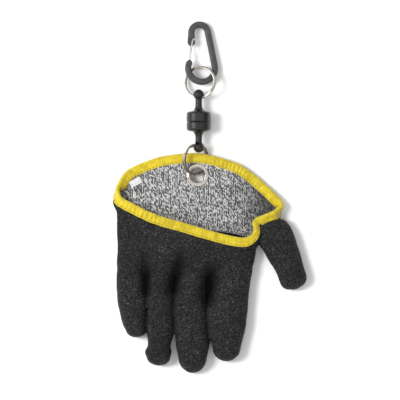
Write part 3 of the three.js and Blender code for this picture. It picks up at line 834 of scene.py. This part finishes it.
def binding_thread():
    """Two rows of stitches along the tape's edges."""
    outer = WALL / 2 + TAPE_GAP + TAPE_THICK
    total = hem.length[-1]
    parts = []
    for sign in (1, -1):
        bulge = tape_bulge(sign)
        spots = hem.at(hem.tape - STITCH_INSET, sign * (outer + bulge * 0.6 + 0.02))
        spots = np.vstack([spots, spots[:1]])
        for k in range(int(total / STITCH_PITCH)):
            ends = []
            for shift in (0, STITCH):
                s = (k * STITCH_PITCH + shift) % total
                ends.append([np.interp(s, hem.length, spots[:, axis]) for axis in range(3)])
            points, faces = capsule(ends[0], ends[1], THREAD, sides=8, rings=5)
            parts.append((points, faces, 0.5))
    return joined("binding_thread", parts)


# Looks

# Width of a wave texture's bands at scale 1
BAND = 0.314


def put(node, values):
    """The node with values in its sockets; an underscore stands for a space."""
    for socket, value in values.items():
        node.inputs[socket.replace("_", " ")].default_value = value
    return node


class Look:
    """A material whose nodes are added one call at a time."""

    def __init__(self, name, colour, roughness, metallic=0.0, **sockets):
        self.material = bpy.data.materials.new(name)
        self.material.use_nodes = True
        self.nodes = self.material.node_tree.nodes
        self.links = self.material.node_tree.links
        start = {"Base_Color": (*colour, 1), "Roughness": roughness, "Metallic": metallic}
        self.shader = put(self.nodes["Principled BSDF"], {**start, **sockets})
        self.place = self.nodes.new("ShaderNodeTexCoord").outputs["Object"]

    def link(self, source, socket):
        self.links.new(source, socket)

    def add(self, kind, **values):
        return put(self.nodes.new("ShaderNode" + kind), values)

    def noise(self, size, detail=3.0, rough=0.55, distortion=0.0, stretch=None):
        """Noise whose features are about size millimetres wide."""
        node = self.add(
            "TexNoise", Scale=METRE / size, Detail=detail, Roughness=rough, Distortion=distortion)
        self.link(self.stretched(stretch), node.inputs["Vector"])
        return node.outputs["Fac"]

    def cells(self, size, feature):
        node = self.add("TexVoronoi", Scale=METRE / size)
        node.feature = feature
        self.link(self.place, node.inputs["Vector"])
        return node.outputs["Distance"]

    def bands(self, size, direction="X", distortion=0.0, place=None):
        scale = (METRE if place is None else 1) / size * BAND
        node = self.add("TexWave", Scale=scale, Distortion=distortion)
        node.bands_direction = direction
        self.link(place or self.place, node.inputs["Vector"])
        return node.outputs["Fac"]

    def stretched(self, stretch):
        if stretch is None:
            return self.place
        node = self.add("Mapping", Scale=stretch)
        self.link(self.place, node.inputs["Vector"])
        return node.outputs["Vector"]

    def ramp(self, source, stops):
        """Colours by value; stops is a list of (value, colour)."""
        node = self.add("ValToRGB")
        while len(node.color_ramp.elements) < len(stops):
            node.color_ramp.elements.new(0.5)
        for element, (value, colour) in zip(node.color_ramp.elements, stops):
            element.position = value
            element.color = (*colour, 1) if isinstance(colour, tuple) else (colour, colour, colour, 1)
        self.link(source, node.inputs["Fac"])
        return node.outputs["Color"]

    def feed(self, sockets, values):
        """Numbers, colours or outputs of other nodes into the sockets."""
        for socket, value in zip(sockets, values):
            if isinstance(value, (int, float)):
                socket.default_value = value
            elif isinstance(value, tuple):
                socket.default_value = (*value, 1)
            else:
                self.link(value, socket)

    def mix(self, share, first, second, kind="MIX"):
        node = self.add("Mix")
        node.data_type = "RGBA"
        node.blend_type = kind
        self.feed((node.inputs[0], node.inputs[6], node.inputs[7]), (share, first, second))
        return node.outputs[2]

    def grey(self, source, low, high, dark, bright):
        """A grey that goes from dark to bright where the source goes from low to high."""
        share = self.ramp(source, [(low, 0.0), (high, 1.0)])
        return self.mix(share, (dark, dark, dark), (bright, bright, bright))

    def maths(self, kind, first, second):
        node = self.add("Math")
        node.operation = kind
        self.feed(node.inputs, (first, second))
        return node.outputs[0]

    def attribute(self, name):
        node = self.add("Attribute")
        node.attribute_name = name
        return node.outputs["Color"]

    def coordinates(self, name):
        node = self.add("UVMap")
        node.uv_map = name
        return node.outputs["UV"]

    def bump(self, height, depth, strength=1.0):
        """Relief of depth millimetres."""
        node = self.add("Bump", Distance=depth / METRE, Strength=strength)
        self.link(height, node.inputs["Height"])
        previous = self.shader.inputs["Normal"].links
        if previous:
            self.link(previous[0].from_socket, node.inputs["Normal"])
        self.link(node.outputs["Normal"], self.shader.inputs["Normal"])

    def colour(self, source):
        self.link(source, self.shader.inputs["Base Color"])

    def roughness(self, source, low, high):
        node = self.add("MapRange", To_Min=low, To_Max=high)
        self.link(source, node.inputs["Value"])
        self.link(node.outputs["Result"], self.shader.inputs["Roughness"])

    def on(self, piece):
        piece.data.materials.clear()
        piece.data.materials.append(self.material)


def coat_look():
    look = Look("crinkled_coat", (0.01, 0.01, 0.01), 0.7, Specular_IOR_Level=0.24)
    crinkle = look.noise(1.25, detail=5, rough=0.72, distortion=0.8)
    cracks = look.cells(1.3, feature="DISTANCE_TO_EDGE")
    patches = look.noise(26, detail=3)
    speck = look.ramp(crinkle, [(0.40, 0.003), (0.50, 0.011), (0.58, 0.036), (0.67, 0.110)])
    worn = look.grey(patches, 0.35, 0.7, 0.75, 1.25)
    # The shade attribute is painted shade, low on the sides and in the valleys; the patches are the
    # coat's own random tone
    painted_shade_and_patches = look.mix(1.0, look.attribute("shade"), worn, kind="MULTIPLY")
    look.colour(look.mix(1.0, speck, painted_shade_and_patches, kind="MULTIPLY"))
    look.bump(look.maths("ADD", crinkle, look.maths("MULTIPLY", cracks, 0.8)), 0.8, 1.0)
    look.roughness(crinkle, 0.72, 0.48)
    return look


def lining_look():
    look = Look("knit_ground", (0.12, 0.12, 0.12), 0.9)
    loops = look.noise(0.9, detail=4, rough=0.7, stretch=(1.0, 0.6, 1.0))
    look.colour(look.ramp(loops, [(0.36, 0.02), (0.5, 0.12), (0.62, 0.4)]))
    look.bump(loops, 0.6)
    return look


def yarn_look():
    look = Look("yarn", (0.4, 0.4, 0.4), 0.85, Sheen_Weight=0.25)
    fibres = look.noise(0.35, detail=3, rough=0.7, stretch=(1.0, 0.4, 1.0))
    shade = look.grey(fibres, 0.3, 0.7, 0.7, 1.15)
    look.colour(look.mix(1.0, look.attribute("shade"), shade, kind="MULTIPLY"))
    look.bump(fibres, 0.12)
    return look


def tape_look():
    look = Look("yellow_tape", (0.68, 0.53, 0.04), 0.62, Sheen_Weight=0.2)
    cloth = look.coordinates("cloth")
    ribs = look.bands(0.062, direction="DIAGONAL", distortion=0.6, place=cloth)
    weft = look.bands(0.05, direction="X", distortion=0.4, place=cloth)
    mottle = look.noise(6, detail=4, rough=0.6)
    fibres = look.noise(0.5, detail=3, rough=0.7)
    ground = look.ramp(mottle, [
        (0.30, (0.42, 0.31, 0.006)),
        (0.5, (0.57, 0.44, 0.010)),
        (0.72, (0.70, 0.56, 0.024)),
    ])
    grain = look.grey(fibres, 0.35, 0.65, 0.86, 1.08)
    look.colour(look.mix(1.0, ground, grain, kind="MULTIPLY"))
    look.bump(look.maths("ADD", ribs, weft), 0.09, 0.7)
    look.bump(mottle, 0.5, 0.5)
    return look


def thread_look():
    look = Look("yellow_thread", (0.42, 0.29, 0.03), 0.55)
    twist = look.noise(0.3, detail=2, rough=0.6)
    look.colour(look.ramp(twist, [(0.3, (0.20, 0.13, 0.008)), (0.7, (0.36, 0.25, 0.02))]))
    look.bump(twist, 0.1)
    return look


def label_look():
    look = Look("woven_label", (0.86, 0.86, 0.84), 0.6, Sheen_Weight=0.15)
    warp = look.bands(0.35, direction="X")
    weft = look.bands(0.3, direction="Y")
    look.bump(look.maths("ADD", warp, weft), 0.05, 0.8)
    patches = look.noise(2.5)
    look.colour(look.ramp(patches, [(0.3, 0.56), (0.7, 0.74)]))
    return look


def nickel_look(name, share):
    """Nickel plate; share is how bright it is."""
    look = Look(name, (0.42, 0.38, 0.34), 0.2, metallic=1.0)
    scratches = look.noise(0.9, detail=4, rough=0.7, stretch=(1.0, 3.0, 1.0))
    tarnish = look.noise(5, detail=3)
    dull, bright = (0.48, 0.44, 0.39), (0.68, 0.63, 0.57)
    dull, bright = (tuple(share * value for value in colour) for colour in (dull, bright))
    look.colour(look.ramp(tarnish, [(0.3, dull), (0.7, bright)]))
    look.roughness(scratches, 0.07, 0.22)
    look.bump(scratches, 0.02, 0.5)
    return look


def plastic_look():
    look = Look("black_plastic", (0.01, 0.01, 0.01), 0.3, Specular_IOR_Level=0.5)
    grain = look.noise(0.45, detail=3, rough=0.6)
    rubbed = look.noise(7, detail=4)
    look.colour(look.ramp(rubbed, [(0.35, 0.006), (0.7, 0.014)]))
    look.roughness(rubbed, 0.2, 0.34)
    look.bump(grain, 0.03, 0.5)
    return look


def anodised_look():
    look = Look("anodised", (0.075, 0.075, 0.08), 0.42, metallic=0.55)
    blast = look.noise(0.3, detail=2, rough=0.6)
    rubbed = look.noise(6, detail=4)
    look.colour(look.ramp(rubbed, [(0.3, (0.062, 0.062, 0.066)), (0.7, (0.098, 0.098, 0.102))]))
    look.roughness(rubbed, 0.36, 0.5)
    look.bump(blast, 0.03, 0.5)
    return look


def steel_look():
    look = Look("gate_steel", (0.62, 0.58, 0.53), 0.3, metallic=1.0)
    drawn = look.noise(0.5, detail=3, rough=0.7, stretch=(3.0, 0.3, 3.0))
    look.roughness(drawn, 0.26, 0.42)
    look.bump(drawn, 0.015, 0.5)
    return look


def floor_look():
    look = Look("white_floor", (0.93, 0.93, 0.93), 0.9)
    paper = look.noise(2, detail=3)
    look.colour(look.ramp(paper, [(0.3, 0.925), (0.7, 0.935)]))
    return look


# Hardware

def lathe(profile, steps):
    """Rings of a turned piece about its own Y; the profile is (radius, height) rows."""
    turns = np.arange(steps) * 2 * math.pi / steps
    return np.stack([
        np.stack([r * np.cos(turns), np.full(steps, y), r * np.sin(turns)], axis=-1) for r, y in profile
    ])


def rounded(profile, radius=0.3, steps=3):
    """The profile with its inner corners rounded."""
    profile = np.asarray(profile, float)
    made = [profile[0]]
    for before, corner, after in zip(profile, profile[1:], profile[2:]):
        back, on = before - corner, after - corner
        reach = min(radius, np.linalg.norm(back) * 0.45, np.linalg.norm(on) * 0.45)
        a, b = corner + unit(back) * reach, corner + unit(on) * reach
        for t in np.linspace(0, 1, steps + 1):
            made.append(a * (1 - t) ** 2 + 2 * corner * t * (1 - t) + b * t**2)
    made.append(profile[-1])
    return np.array(made)


def node_plane(node):
    """Middle, normal and long direction of a flat CAD node, in the drawing's millimetres."""
    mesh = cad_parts[node].data
    points = np.array([v.co for v in mesh.vertices]) * METRE - ORIGIN
    centre = points.mean(0)
    ways = np.linalg.eigh(np.cov((points - centre).T))[1]
    normal, long_way = ways[:, 0], ways[:, 2]
    return centre, normal * np.sign(normal[2]), long_way * np.sign(long_way[0])


# Steps round a turned piece
ROUND_STEPS = 96

# Eyelet
EYELET_OUTER = 9.35
EYELET_INNER = 6.5
EYELET_BARREL = 0.8


def grommets():
    seat = WALL / 2 + TAPE_GAP
    front = rounded([
        (EYELET_INNER, -seat - 1.0), (EYELET_INNER, seat + 0.7), (EYELET_INNER + 0.45, seat + 1.05),
        (EYELET_INNER + 1.05, seat + 0.95), (EYELET_INNER + 1.5, seat + 0.62),
        (EYELET_OUTER - 0.7, seat + 0.55), (EYELET_OUTER - 0.12, seat + 0.42),
        (EYELET_OUTER, seat + 0.05), (EYELET_OUTER - 0.5, seat),
        (EYELET_INNER + EYELET_BARREL, seat), (EYELET_INNER + EYELET_BARREL, -seat - 1.0),
    ], 0.35, 4)
    back = rounded([
        (EYELET_INNER + EYELET_BARREL + 0.3, -seat), (EYELET_OUTER, -seat), (EYELET_OUTER, -seat - 0.5),
        (EYELET_OUTER - 0.5, -seat - 1.0), (EYELET_INNER + EYELET_BARREL + 0.3, -seat - 1.0),
    ], 0.3, 3)
    made = []
    for name, profile in (("eyelet_front", front), ("eyelet_back", back)):
        rings = lathe(profile, ROUND_STEPS)
        rings = rings[:, :, [0, 2, 1]] + [*EYELET, FLAP_RISE]
        points, faces = skin(rings, looped=True)
        made.append(smooth(outward(make_object(name, points, faces)), 50))
    return made


# Split rings: flat wire, and a short climb from one turn to the next
RING_WIRE = 2.1
TURN_THICK = 1.26
WIRE_ROUND = 0.36
RING_STEPS = 300
RING_CLIMB = math.radians(34)
TURN_GAP = 0.04


def split_ring(name, node, outer, split):
    """Two turns of flat wire: one below, a short climb, one above."""
    centre, normal, _ = node_plane(node)
    x_way = unit(np.array([1, 0, 0]) - normal * normal[0])
    y_way = np.cross(normal, x_way)
    middle = outer / 2 - RING_WIRE / 2
    turns = np.linspace(0, 4 * math.pi - RING_CLIMB, RING_STEPS)
    rise = ease((turns - (2 * math.pi - RING_CLIMB)) / RING_CLIMB) * 2 - 1
    half = TURN_THICK / 2 + TURN_GAP / 2
    outline = []
    for side, rise_side in ((1, 1), (-1, 1), (-1, -1), (1, -1)):
        first = math.atan2(rise_side, side) - math.pi / 4
        for step in range(4):
            a = first + step * math.pi / 6
            outline.append((
                side * (RING_WIRE / 2 - WIRE_ROUND) + WIRE_ROUND * math.cos(a),
                rise_side * (TURN_THICK / 2 - WIRE_ROUND) + WIRE_ROUND * math.sin(a)))
    outline = np.array(outline)
    rings = []
    for turn, lift in zip(turns, rise):
        angle = split + turn
        radial = x_way * math.cos(angle) + y_way * math.sin(angle)
        base = centre + radial * middle + normal * lift * half
        rings.append(base + radial * outline[:, :1] + normal * outline[:, 1:])
    points, faces = skin(rings)
    return smooth(outward(make_object(name, points, faces)), 35), centre, normal, middle


# Magnetic release, from its seam to the balls
RELEASE_X = 0.6
RELEASE_RADIUS = 10.25
SEAM_Y = 97.3
SEAM_GAP = 0.3
NECK = 2.85
BALL = 4.6
EYE_HOLE = 2.5


def release_half(name, body, eye, way, ring):
    """One half of the release: a round body, a flared neck and a ball with its cross hole."""
    shoulder, lip, flare, collar = 2.2, 0.3, 5.4, 6.0
    half_gap = SEAM_GAP / 2
    profile = [(0, half_gap), (RELEASE_RADIUS - 0.45, half_gap), (RELEASE_RADIUS, 0.6)]
    for a in np.linspace(0, 90, 9):
        a = math.radians(a)
        profile.append((
            RELEASE_RADIUS - shoulder * (1 - math.cos(a)), body - shoulder + shoulder * math.sin(a)))
    profile.append((collar + 1.1, body))
    profile.append((collar + 0.9, body + lip))
    for a in np.linspace(0, 90, 9):
        a = math.radians(a)
        profile.append((collar - (collar - NECK) * math.sin(a), body + lip + flare * (1 - math.cos(a))))
    for a in np.linspace(-52, 84, 18):
        a = math.radians(a)
        profile.append((BALL * math.cos(a), eye + BALL * math.sin(a)))
    profile.append((0, eye + BALL))
    profile = np.array(profile)
    profile = np.vstack([profile[:1], rounded(profile[1:-1], 0.5, 3), profile[-1:]])
    rings = lathe(profile[1:-1], ROUND_STEPS)
    rings[:, :, 1] *= way
    place = np.array([RELEASE_X, SEAM_Y, RELEASE_RADIUS])
    points, faces = skin(rings + place, first=place + [0, way * profile[0, 1], 0],
                         last=place + [0, way * profile[-1, 1], 0])
    made = outward(make_object(name, points, faces))
    centre, normal, middle = ring
    ball = place + [0, way * eye, 0]
    radial = ball - centre
    radial = unit(radial - normal * (radial @ normal))
    wire = centre + radial * middle
    along = np.cross(normal, radial)
    turns = (np.arange(40) * math.pi / 20)[:, None]
    circle = (radial[None] * np.cos(turns) + normal[None] * np.sin(turns)) * EYE_HOLE
    drill = outward(make_object("drill", *skin([wire + along * reach + circle for reach in (-8, 8)])))
    cut(made, drill)
    return smooth(made, 32)


# Clip and gate, in the clip's own plane, which leans a little
CLIP_BAR = 5.2
CLIP_THICK = 5.0
CLIP_TOP = 7.2
CLIP_BOTTOM = 11.5
CLIP_SPAN = 30.2
CLIP_LEAN = 1.3
CLIP_BEVEL = 1.1
NOSE_WIDTH = 6.2
NOSE_DROP = 8.2
NOSE_SPREAD = 9.0
HOOK_ANGLE = math.radians(202)
GATE_WIRE = 1.3
SLOT_WIDTH = 2.9
SLOT_DEPTH = 8.0
PIN_INSET = 4.2
NOSE_FLAT = 1.6
GATE_SEAT = 0.9
GATE_OVERLAP = 2.6
CLIP_PLACE = np.array([1.3, 173.0, 4.7])
CLIP_SLOPE = (-0.185, -0.085)
CORNER_ROUND = 0.28
END_TURNS = np.linspace(12, 82, 8)


def clip_frame():
    normal = unit(np.array([-CLIP_SLOPE[0], -CLIP_SLOPE[1], 1.0]))
    x_way = unit(np.array([1.0, 0, CLIP_SLOPE[0]]))
    return np.stack([x_way, np.cross(normal, x_way), normal])


def from_clip(points):
    return np.asarray(points, float) @ clip_frame() + CLIP_PLACE


def clip_line(step=0.7):
    """Middle line of the bar, from the nose round to the hook, in the clip's own plane."""
    top, bottom = np.array([0.0, 0.0]), np.array([CLIP_LEAN, -CLIP_SPAN])
    spread = bottom - top
    tangent = math.atan2(spread[1], spread[0])
    tangent += math.acos((CLIP_TOP - CLIP_BOTTOM) / np.linalg.norm(spread))
    line = [(-CLIP_TOP, -NOSE_DROP * (1 - t)) for t in np.linspace(0, 1, 12)[:-1]]
    bends = ((top, CLIP_TOP, math.pi, tangent), (bottom, CLIP_BOTTOM, tangent, -HOOK_ANGLE))
    for centre, radius, start, end in bends:
        count = max(8, int(abs(end - start) * radius / step))
        for a in np.linspace(start, end, count):
            line.append((centre[0] + radius * math.cos(a), centre[1] + radius * math.sin(a)))
    line = np.array(line)
    gaps = np.linalg.norm(np.diff(line, axis=0), axis=1)
    s = np.concatenate([[0], np.cumsum(gaps)])
    even = np.linspace(0, s[-1], int(s[-1] / step))
    return np.stack([np.interp(even, s, line[:, 0]), np.interp(even, s, line[:, 1])], axis=-1), even


def bar_section(half, thick):
    """A flat bar's outline with bevelled edges, as a closed ring of (side, up) points."""
    bevel = min(CLIP_BEVEL, half * 0.5)
    corners = [
        (half, thick - bevel), (half - bevel, thick), (bevel - half, thick), (-half, thick - bevel),
        (-half, bevel - thick), (bevel - half, -thick), (half - bevel, -thick), (half, bevel - thick),
    ]
    made = []
    for i, corner in enumerate(corners):
        before, after = np.array(corners[i - 1]), np.array(corners[(i + 1) % len(corners)])
        corner = np.array(corner)
        room = min(np.linalg.norm(before - corner), np.linalg.norm(after - corner))
        reach = min(CORNER_ROUND, 0.3 * room)
        a, b = corner + unit(before - corner) * reach, corner + unit(after - corner) * reach
        for t in (0, 0.5, 1):
            made.append(a * (1 - t) ** 2 + 2 * corner * t * (1 - t) + b * t**2)
    return np.array(made)


def clip_blank():
    line, s = clip_line()
    run = unit(np.gradient(line, axis=0))
    side = np.stack([-run[:, 1], run[:, 0]], axis=-1)
    widths = (CLIP_BAR + (NOSE_WIDTH - CLIP_BAR) * ease(1 - s / NOSE_SPREAD)) / 2

    def ring(place, way, half, thick):
        outline = bar_section(half, thick)
        flat = place + way * outline[:, :1]
        return np.column_stack([flat, outline[:, 1]])

    def rounded_end(place, ahead, way, half):
        """Rings past an end of the bar, each one narrower and thinner."""
        made = []
        for turn in END_TURNS:
            a = math.radians(turn)
            shrink = 1 - 0.25 * (1 - math.cos(a))
            spot = place + ahead * half * math.sin(a)
            made.append(ring(spot, way, half * math.cos(a), CLIP_THICK / 2 * shrink))
        return made

    rings = rounded_end(line[0], -run[0], side[0], widths[0])[::-1]
    rings += [ring(place, way, half, CLIP_THICK / 2) for place, way, half in zip(line, side, widths)]
    rings += rounded_end(line[-1], run[-1], side[-1], widths[-1])
    points, faces = skin(rings)
    return outward(make_object("clip", from_clip(points), faces))


def hook_place(back):
    angle = -HOOK_ANGLE + back / CLIP_BOTTOM
    return np.array([
        CLIP_LEAN + CLIP_BOTTOM * math.cos(angle),
        -CLIP_SPAN + CLIP_BOTTOM * math.sin(angle),
    ])


GATE_TOP = np.array([-CLIP_TOP + GATE_SEAT, -NOSE_DROP + GATE_OVERLAP])


def box_cutter(size, centre, turn=0.0, height=0.0):
    """A block in the clip's own frame, to cut with."""
    c, s = math.cos(turn), math.sin(turn)
    corners = []
    for z in (-0.5, 0.5):
        for x, y in ((-0.5, -0.5), (0.5, -0.5), (0.5, 0.5), (-0.5, 0.5)):
            px, py = x * size[0], y * size[1]
            corners.append((
                centre[0] + px * c - py * s, centre[1] + px * s + py * c, height + z * size[2]))
    faces = [(0, 3, 2, 1), (4, 5, 6, 7), (0, 1, 5, 4), (1, 2, 6, 5), (2, 3, 7, 6), (3, 0, 4, 7)]
    return outward(make_object("cutter", from_clip(corners), faces))


def clip_body():
    made = clip_blank()
    end, pin = hook_place(0), hook_place(PIN_INSET)
    tilt = math.atan2(end[1] - pin[1], end[0] - pin[0]) - math.pi / 2
    room = GATE_WIRE + 2 * TAPE_GAP
    flat = NOSE_DROP + NOSE_WIDTH
    low = GATE_TOP[1] - room / 2
    cutters = [box_cutter((3 * CLIP_BAR, SLOT_DEPTH + CLIP_BAR, SLOT_WIDTH), (end + pin) / 2, tilt)]
    for side in (-1, 1):
        cutters.append(box_cutter(
            (2 * NOSE_WIDTH, flat, CLIP_THICK), (-CLIP_TOP, GATE_TOP[1] + room / 2 - flat / 2),
            height=side * (NOSE_FLAT + CLIP_THICK / 2)))
    cutters.append(box_cutter(
        (2 * NOSE_WIDTH, room, 2 * CLIP_THICK), (GATE_TOP[0] - room / 2 + NOSE_WIDTH, low + room / 2)))
    cut(made, *cutters)
    edge = made.modifiers.new("edge", "BEVEL")
    edge.width = 0.00012
    edge.segments = 2
    edge.limit_method = "ANGLE"
    edge.angle_limit = math.radians(50)
    return smooth(applied(made), 30)


def wire(name, spots, radius, sides=14):
    """Round wire through the given points."""
    spots = np.asarray(spots, float)
    run = unit(np.gradient(spots, axis=0))
    side = np.array([1.0, 0, 0])
    turns = (np.arange(sides) * 2 * math.pi / sides)[:, None]
    rings = []
    for spot, way in zip(spots, run):
        side = unit(side - way * (side @ way))
        other = np.cross(way, side)
        rings.append(spot + radius * (side[None] * np.cos(turns) + other[None] * np.sin(turns)))
    points, faces = skin(rings)
    return outward(make_object(name, points, faces))


def clip_gate():
    pin = hook_place(PIN_INSET)
    lift = GATE_TOP - pin
    length = np.linalg.norm(lift)
    lift = lift / length
    hub = SLOT_WIDTH / 2 - TAPE_GAP - GATE_WIRE / 2
    leg = NOSE_FLAT + TAPE_GAP + GATE_WIRE / 2
    bend = 1.1

    def place(t, z):
        return np.array([*(pin + lift * t), z])

    def corner(a, b, c):
        return [a * (1 - t) ** 2 + 2 * b * t * (1 - t) + c * t**2 for t in np.linspace(0, 1, 8)]

    one = [place(0, CLIP_THICK / 2 - 0.9)]
    one += corner(place(0, hub + 0.65), place(0, hub), place(0.65, hub))
    for t in np.linspace(1, length - bend - 0.5, 30):
        one.append(place(t, hub + (leg - hub) * ease((t - 5.5) / (length - 11))))
    one += corner(place(length - bend, leg), place(length, leg), place(length, leg - bend))
    other = [spot * [1, 1, -1] for spot in reversed(one)]
    return smooth(wire("gate", from_clip(one + other), GATE_WIRE / 2), 60)


LABEL_SHIFT = np.array([0.9, -0.6, 0.0])
LABEL_LONG = 10.2
LABEL_SHORT = 5.6
LABEL_THICK = 0.42


def label_piece():
    """A small folded tab, bare, sewn under the tape."""
    centre, normal, long_way = node_plane("size_label")
    centre = centre + LABEL_SHIFT
    short_way = np.cross(normal, long_way)
    across, up = 22, 12
    rings = []
    for layer in (1, -1):
        for i in range(up + 1):
            v = i / up - 0.5
            row = []
            for j in range(across + 1):
                u = j / across - 0.5
                lift = 0.28 * math.sin(u * 5.0 + 1) * (0.5 - v) + 0.12 * math.cos(v * 9)
                flat = centre + long_way * u * LABEL_LONG + short_way * v * LABEL_SHORT
                row.append(flat + normal * (lift + layer * LABEL_THICK / 2))
            rings.append(row)
    top = np.asarray(rings[:up + 1])
    low = np.asarray(rings[up + 1:])
    columns = across + 1
    points = np.vstack([top.reshape(-1, 3), low.reshape(-1, 3)])
    faces = grid_faces(up + 1, columns, loop_columns=False)
    shift = (up + 1) * columns
    faces += [tuple(shift + i for i in reversed(face)) for face in faces]
    rim = list(range(columns))
    rim += [i * columns + columns - 1 for i in range(1, up + 1)]
    rim += [up * columns + j for j in range(columns - 2, -1, -1)]
    rim += [i * columns for i in range(up - 1, 0, -1)]
    for a, b in zip(rim, rim[1:] + rim[:1]):
        faces.append((a, b, b + shift, a + shift))
    return smooth(outward(make_object("label", points, faces)), 60)


# Light: the sky overhead and its darker edge, the lamps' power in watts
SKY = 0.92
HORIZON = 0.14
KEY = 16
SOFT = 6

# The drawing's zero in the photograph, in pixels, its scale and its side
PIXEL_X = 198
PIXEL_Y = 237
MM_PER_PIXEL = 0.85
PIXELS = 400

# The camera's height and the floor's half side, in metres, and the sensor in millimetres
EYE_HEIGHT = 1.7
FLOOR_HALF = 1.6
SENSOR = 36


def studio():
    """Pale floor, soft light from the upper left, and the camera straight above."""
    size = FLOOR_HALF
    corners = [(-size, -size, 0), (size, -size, 0), (size, size, 0), (-size, size, 0)]
    mesh = bpy.data.meshes.new("floor")
    mesh.from_pydata(corners, [], [(0, 1, 2, 3)])
    floor = bpy.data.objects.new("floor", mesh)
    bpy.context.scene.collection.objects.link(floor)
    floor_look().on(floor)

    world = bpy.data.worlds.new("studio")
    world.use_nodes = True
    bpy.context.scene.world = world
    nodes, links = world.node_tree.nodes, world.node_tree.links
    split = nodes.new("ShaderNodeSeparateXYZ")
    links.new(nodes.new("ShaderNodeTexCoord").outputs["Generated"], split.inputs["Vector"])
    sky = nodes.new("ShaderNodeValToRGB")
    for element, (value, level_out) in zip(sky.color_ramp.elements, ((0.12, HORIZON), (0.86, 1.0))):
        element.position = value
        element.color = (level_out, level_out, level_out, 1)
    links.new(split.outputs["Z"], sky.inputs["Fac"])
    links.new(sky.outputs["Color"], nodes["Background"].inputs["Color"])
    nodes["Background"].inputs["Strength"].default_value = SKY

    def lamp(name, place, aim, width, power, mirrored):
        light = bpy.data.lights.new(name, "AREA")
        light.shape = "DISK"
        light.size = width
        light.energy = power
        made = bpy.data.objects.new(name, light)
        made.location = place
        made.visible_glossy = mirrored
        made.rotation_mode = "QUATERNION"
        made.rotation_quaternion = (Vector(aim) - Vector(place)).to_track_quat("-Z", "Y")
        bpy.context.scene.collection.objects.link(made)

    lamp("key", (-0.86, 0.16, 1.20), (0, 0, 0), 0.5, KEY, mirrored=False)
    lamp("soft", (-1.05, 0.25, 0.75), (0, 0, 0), 0.9, SOFT, mirrored=True)

    bpy.context.scene.view_settings.view_transform = "Standard"
    camera = bpy.data.cameras.new("camera")
    eye = bpy.data.objects.new("camera", camera)
    bpy.context.scene.collection.objects.link(eye)
    bpy.context.scene.camera = eye
    picture = PIXELS * MM_PER_PIXEL / METRE
    camera.sensor_width = SENSOR
    camera.lens = SENSOR * EYE_HEIGHT / picture
    half = PIXELS // 2
    middle = metres([(half - PIXEL_X) * MM_PER_PIXEL, (PIXEL_Y - half) * MM_PER_PIXEL, 0])
    eye.location = (middle[0], middle[1], EYE_HEIGHT)
    eye.rotation_euler = (0, 0, 0)


def dress(piece, look, body, node):
    """The piece's look, the body it rides on and the CAD node that it stands for."""
    look.on(piece)
    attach(piece, body)
    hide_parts(node)


def main():
    dress(smooth(coat_skin(), 180), coat_look(), "glove", "glove_shell")
    knit, floor = lining()
    dress(smooth(knit, 180), lining_look(), "glove", "glove_shell")
    dress(smooth(knit_stitches(floor), 180), yarn_look(), "glove", "glove_shell")

    dress(smooth(binding(), 60), tape_look(), "glove", "hem_binding")
    dress(smooth(binding_thread(), 80), thread_look(), "glove", "hem_binding")
    dress(label_piece(), label_look(), "glove", "size_label")

    front, back = grommets()
    nickel = nickel_look("eyelet_nickel", 1.25)
    dress(front, nickel, "glove", "grommet_front")
    dress(back, nickel, "glove", "grommet_back")
    lower, *lower_ring = split_ring("ring_at_eyelet", "lower_ring", 27.0, math.radians(150))
    upper, *upper_ring = split_ring("ring_at_clip", "upper_ring", 28.0, math.radians(-40))
    nickel = nickel_look("ring_nickel", 0.75)
    dress(lower, nickel, "glove", "lower_ring")
    dress(upper, nickel, "release", "upper_ring")

    plastic = plastic_look()
    half_down = release_half("release_down", 7.6, 21.3, -1, lower_ring)
    half_up = release_half("release_up", 8.8, 23.0, 1, upper_ring)
    dress(half_down, plastic, "glove", "release_lower")
    dress(half_up, plastic, "release", "release_upper")

    dress(clip_body(), anodised_look(), "release", "clip_body")
    dress(clip_gate(), steel_look(), "gate", "clip_gate")
    studio()


main()
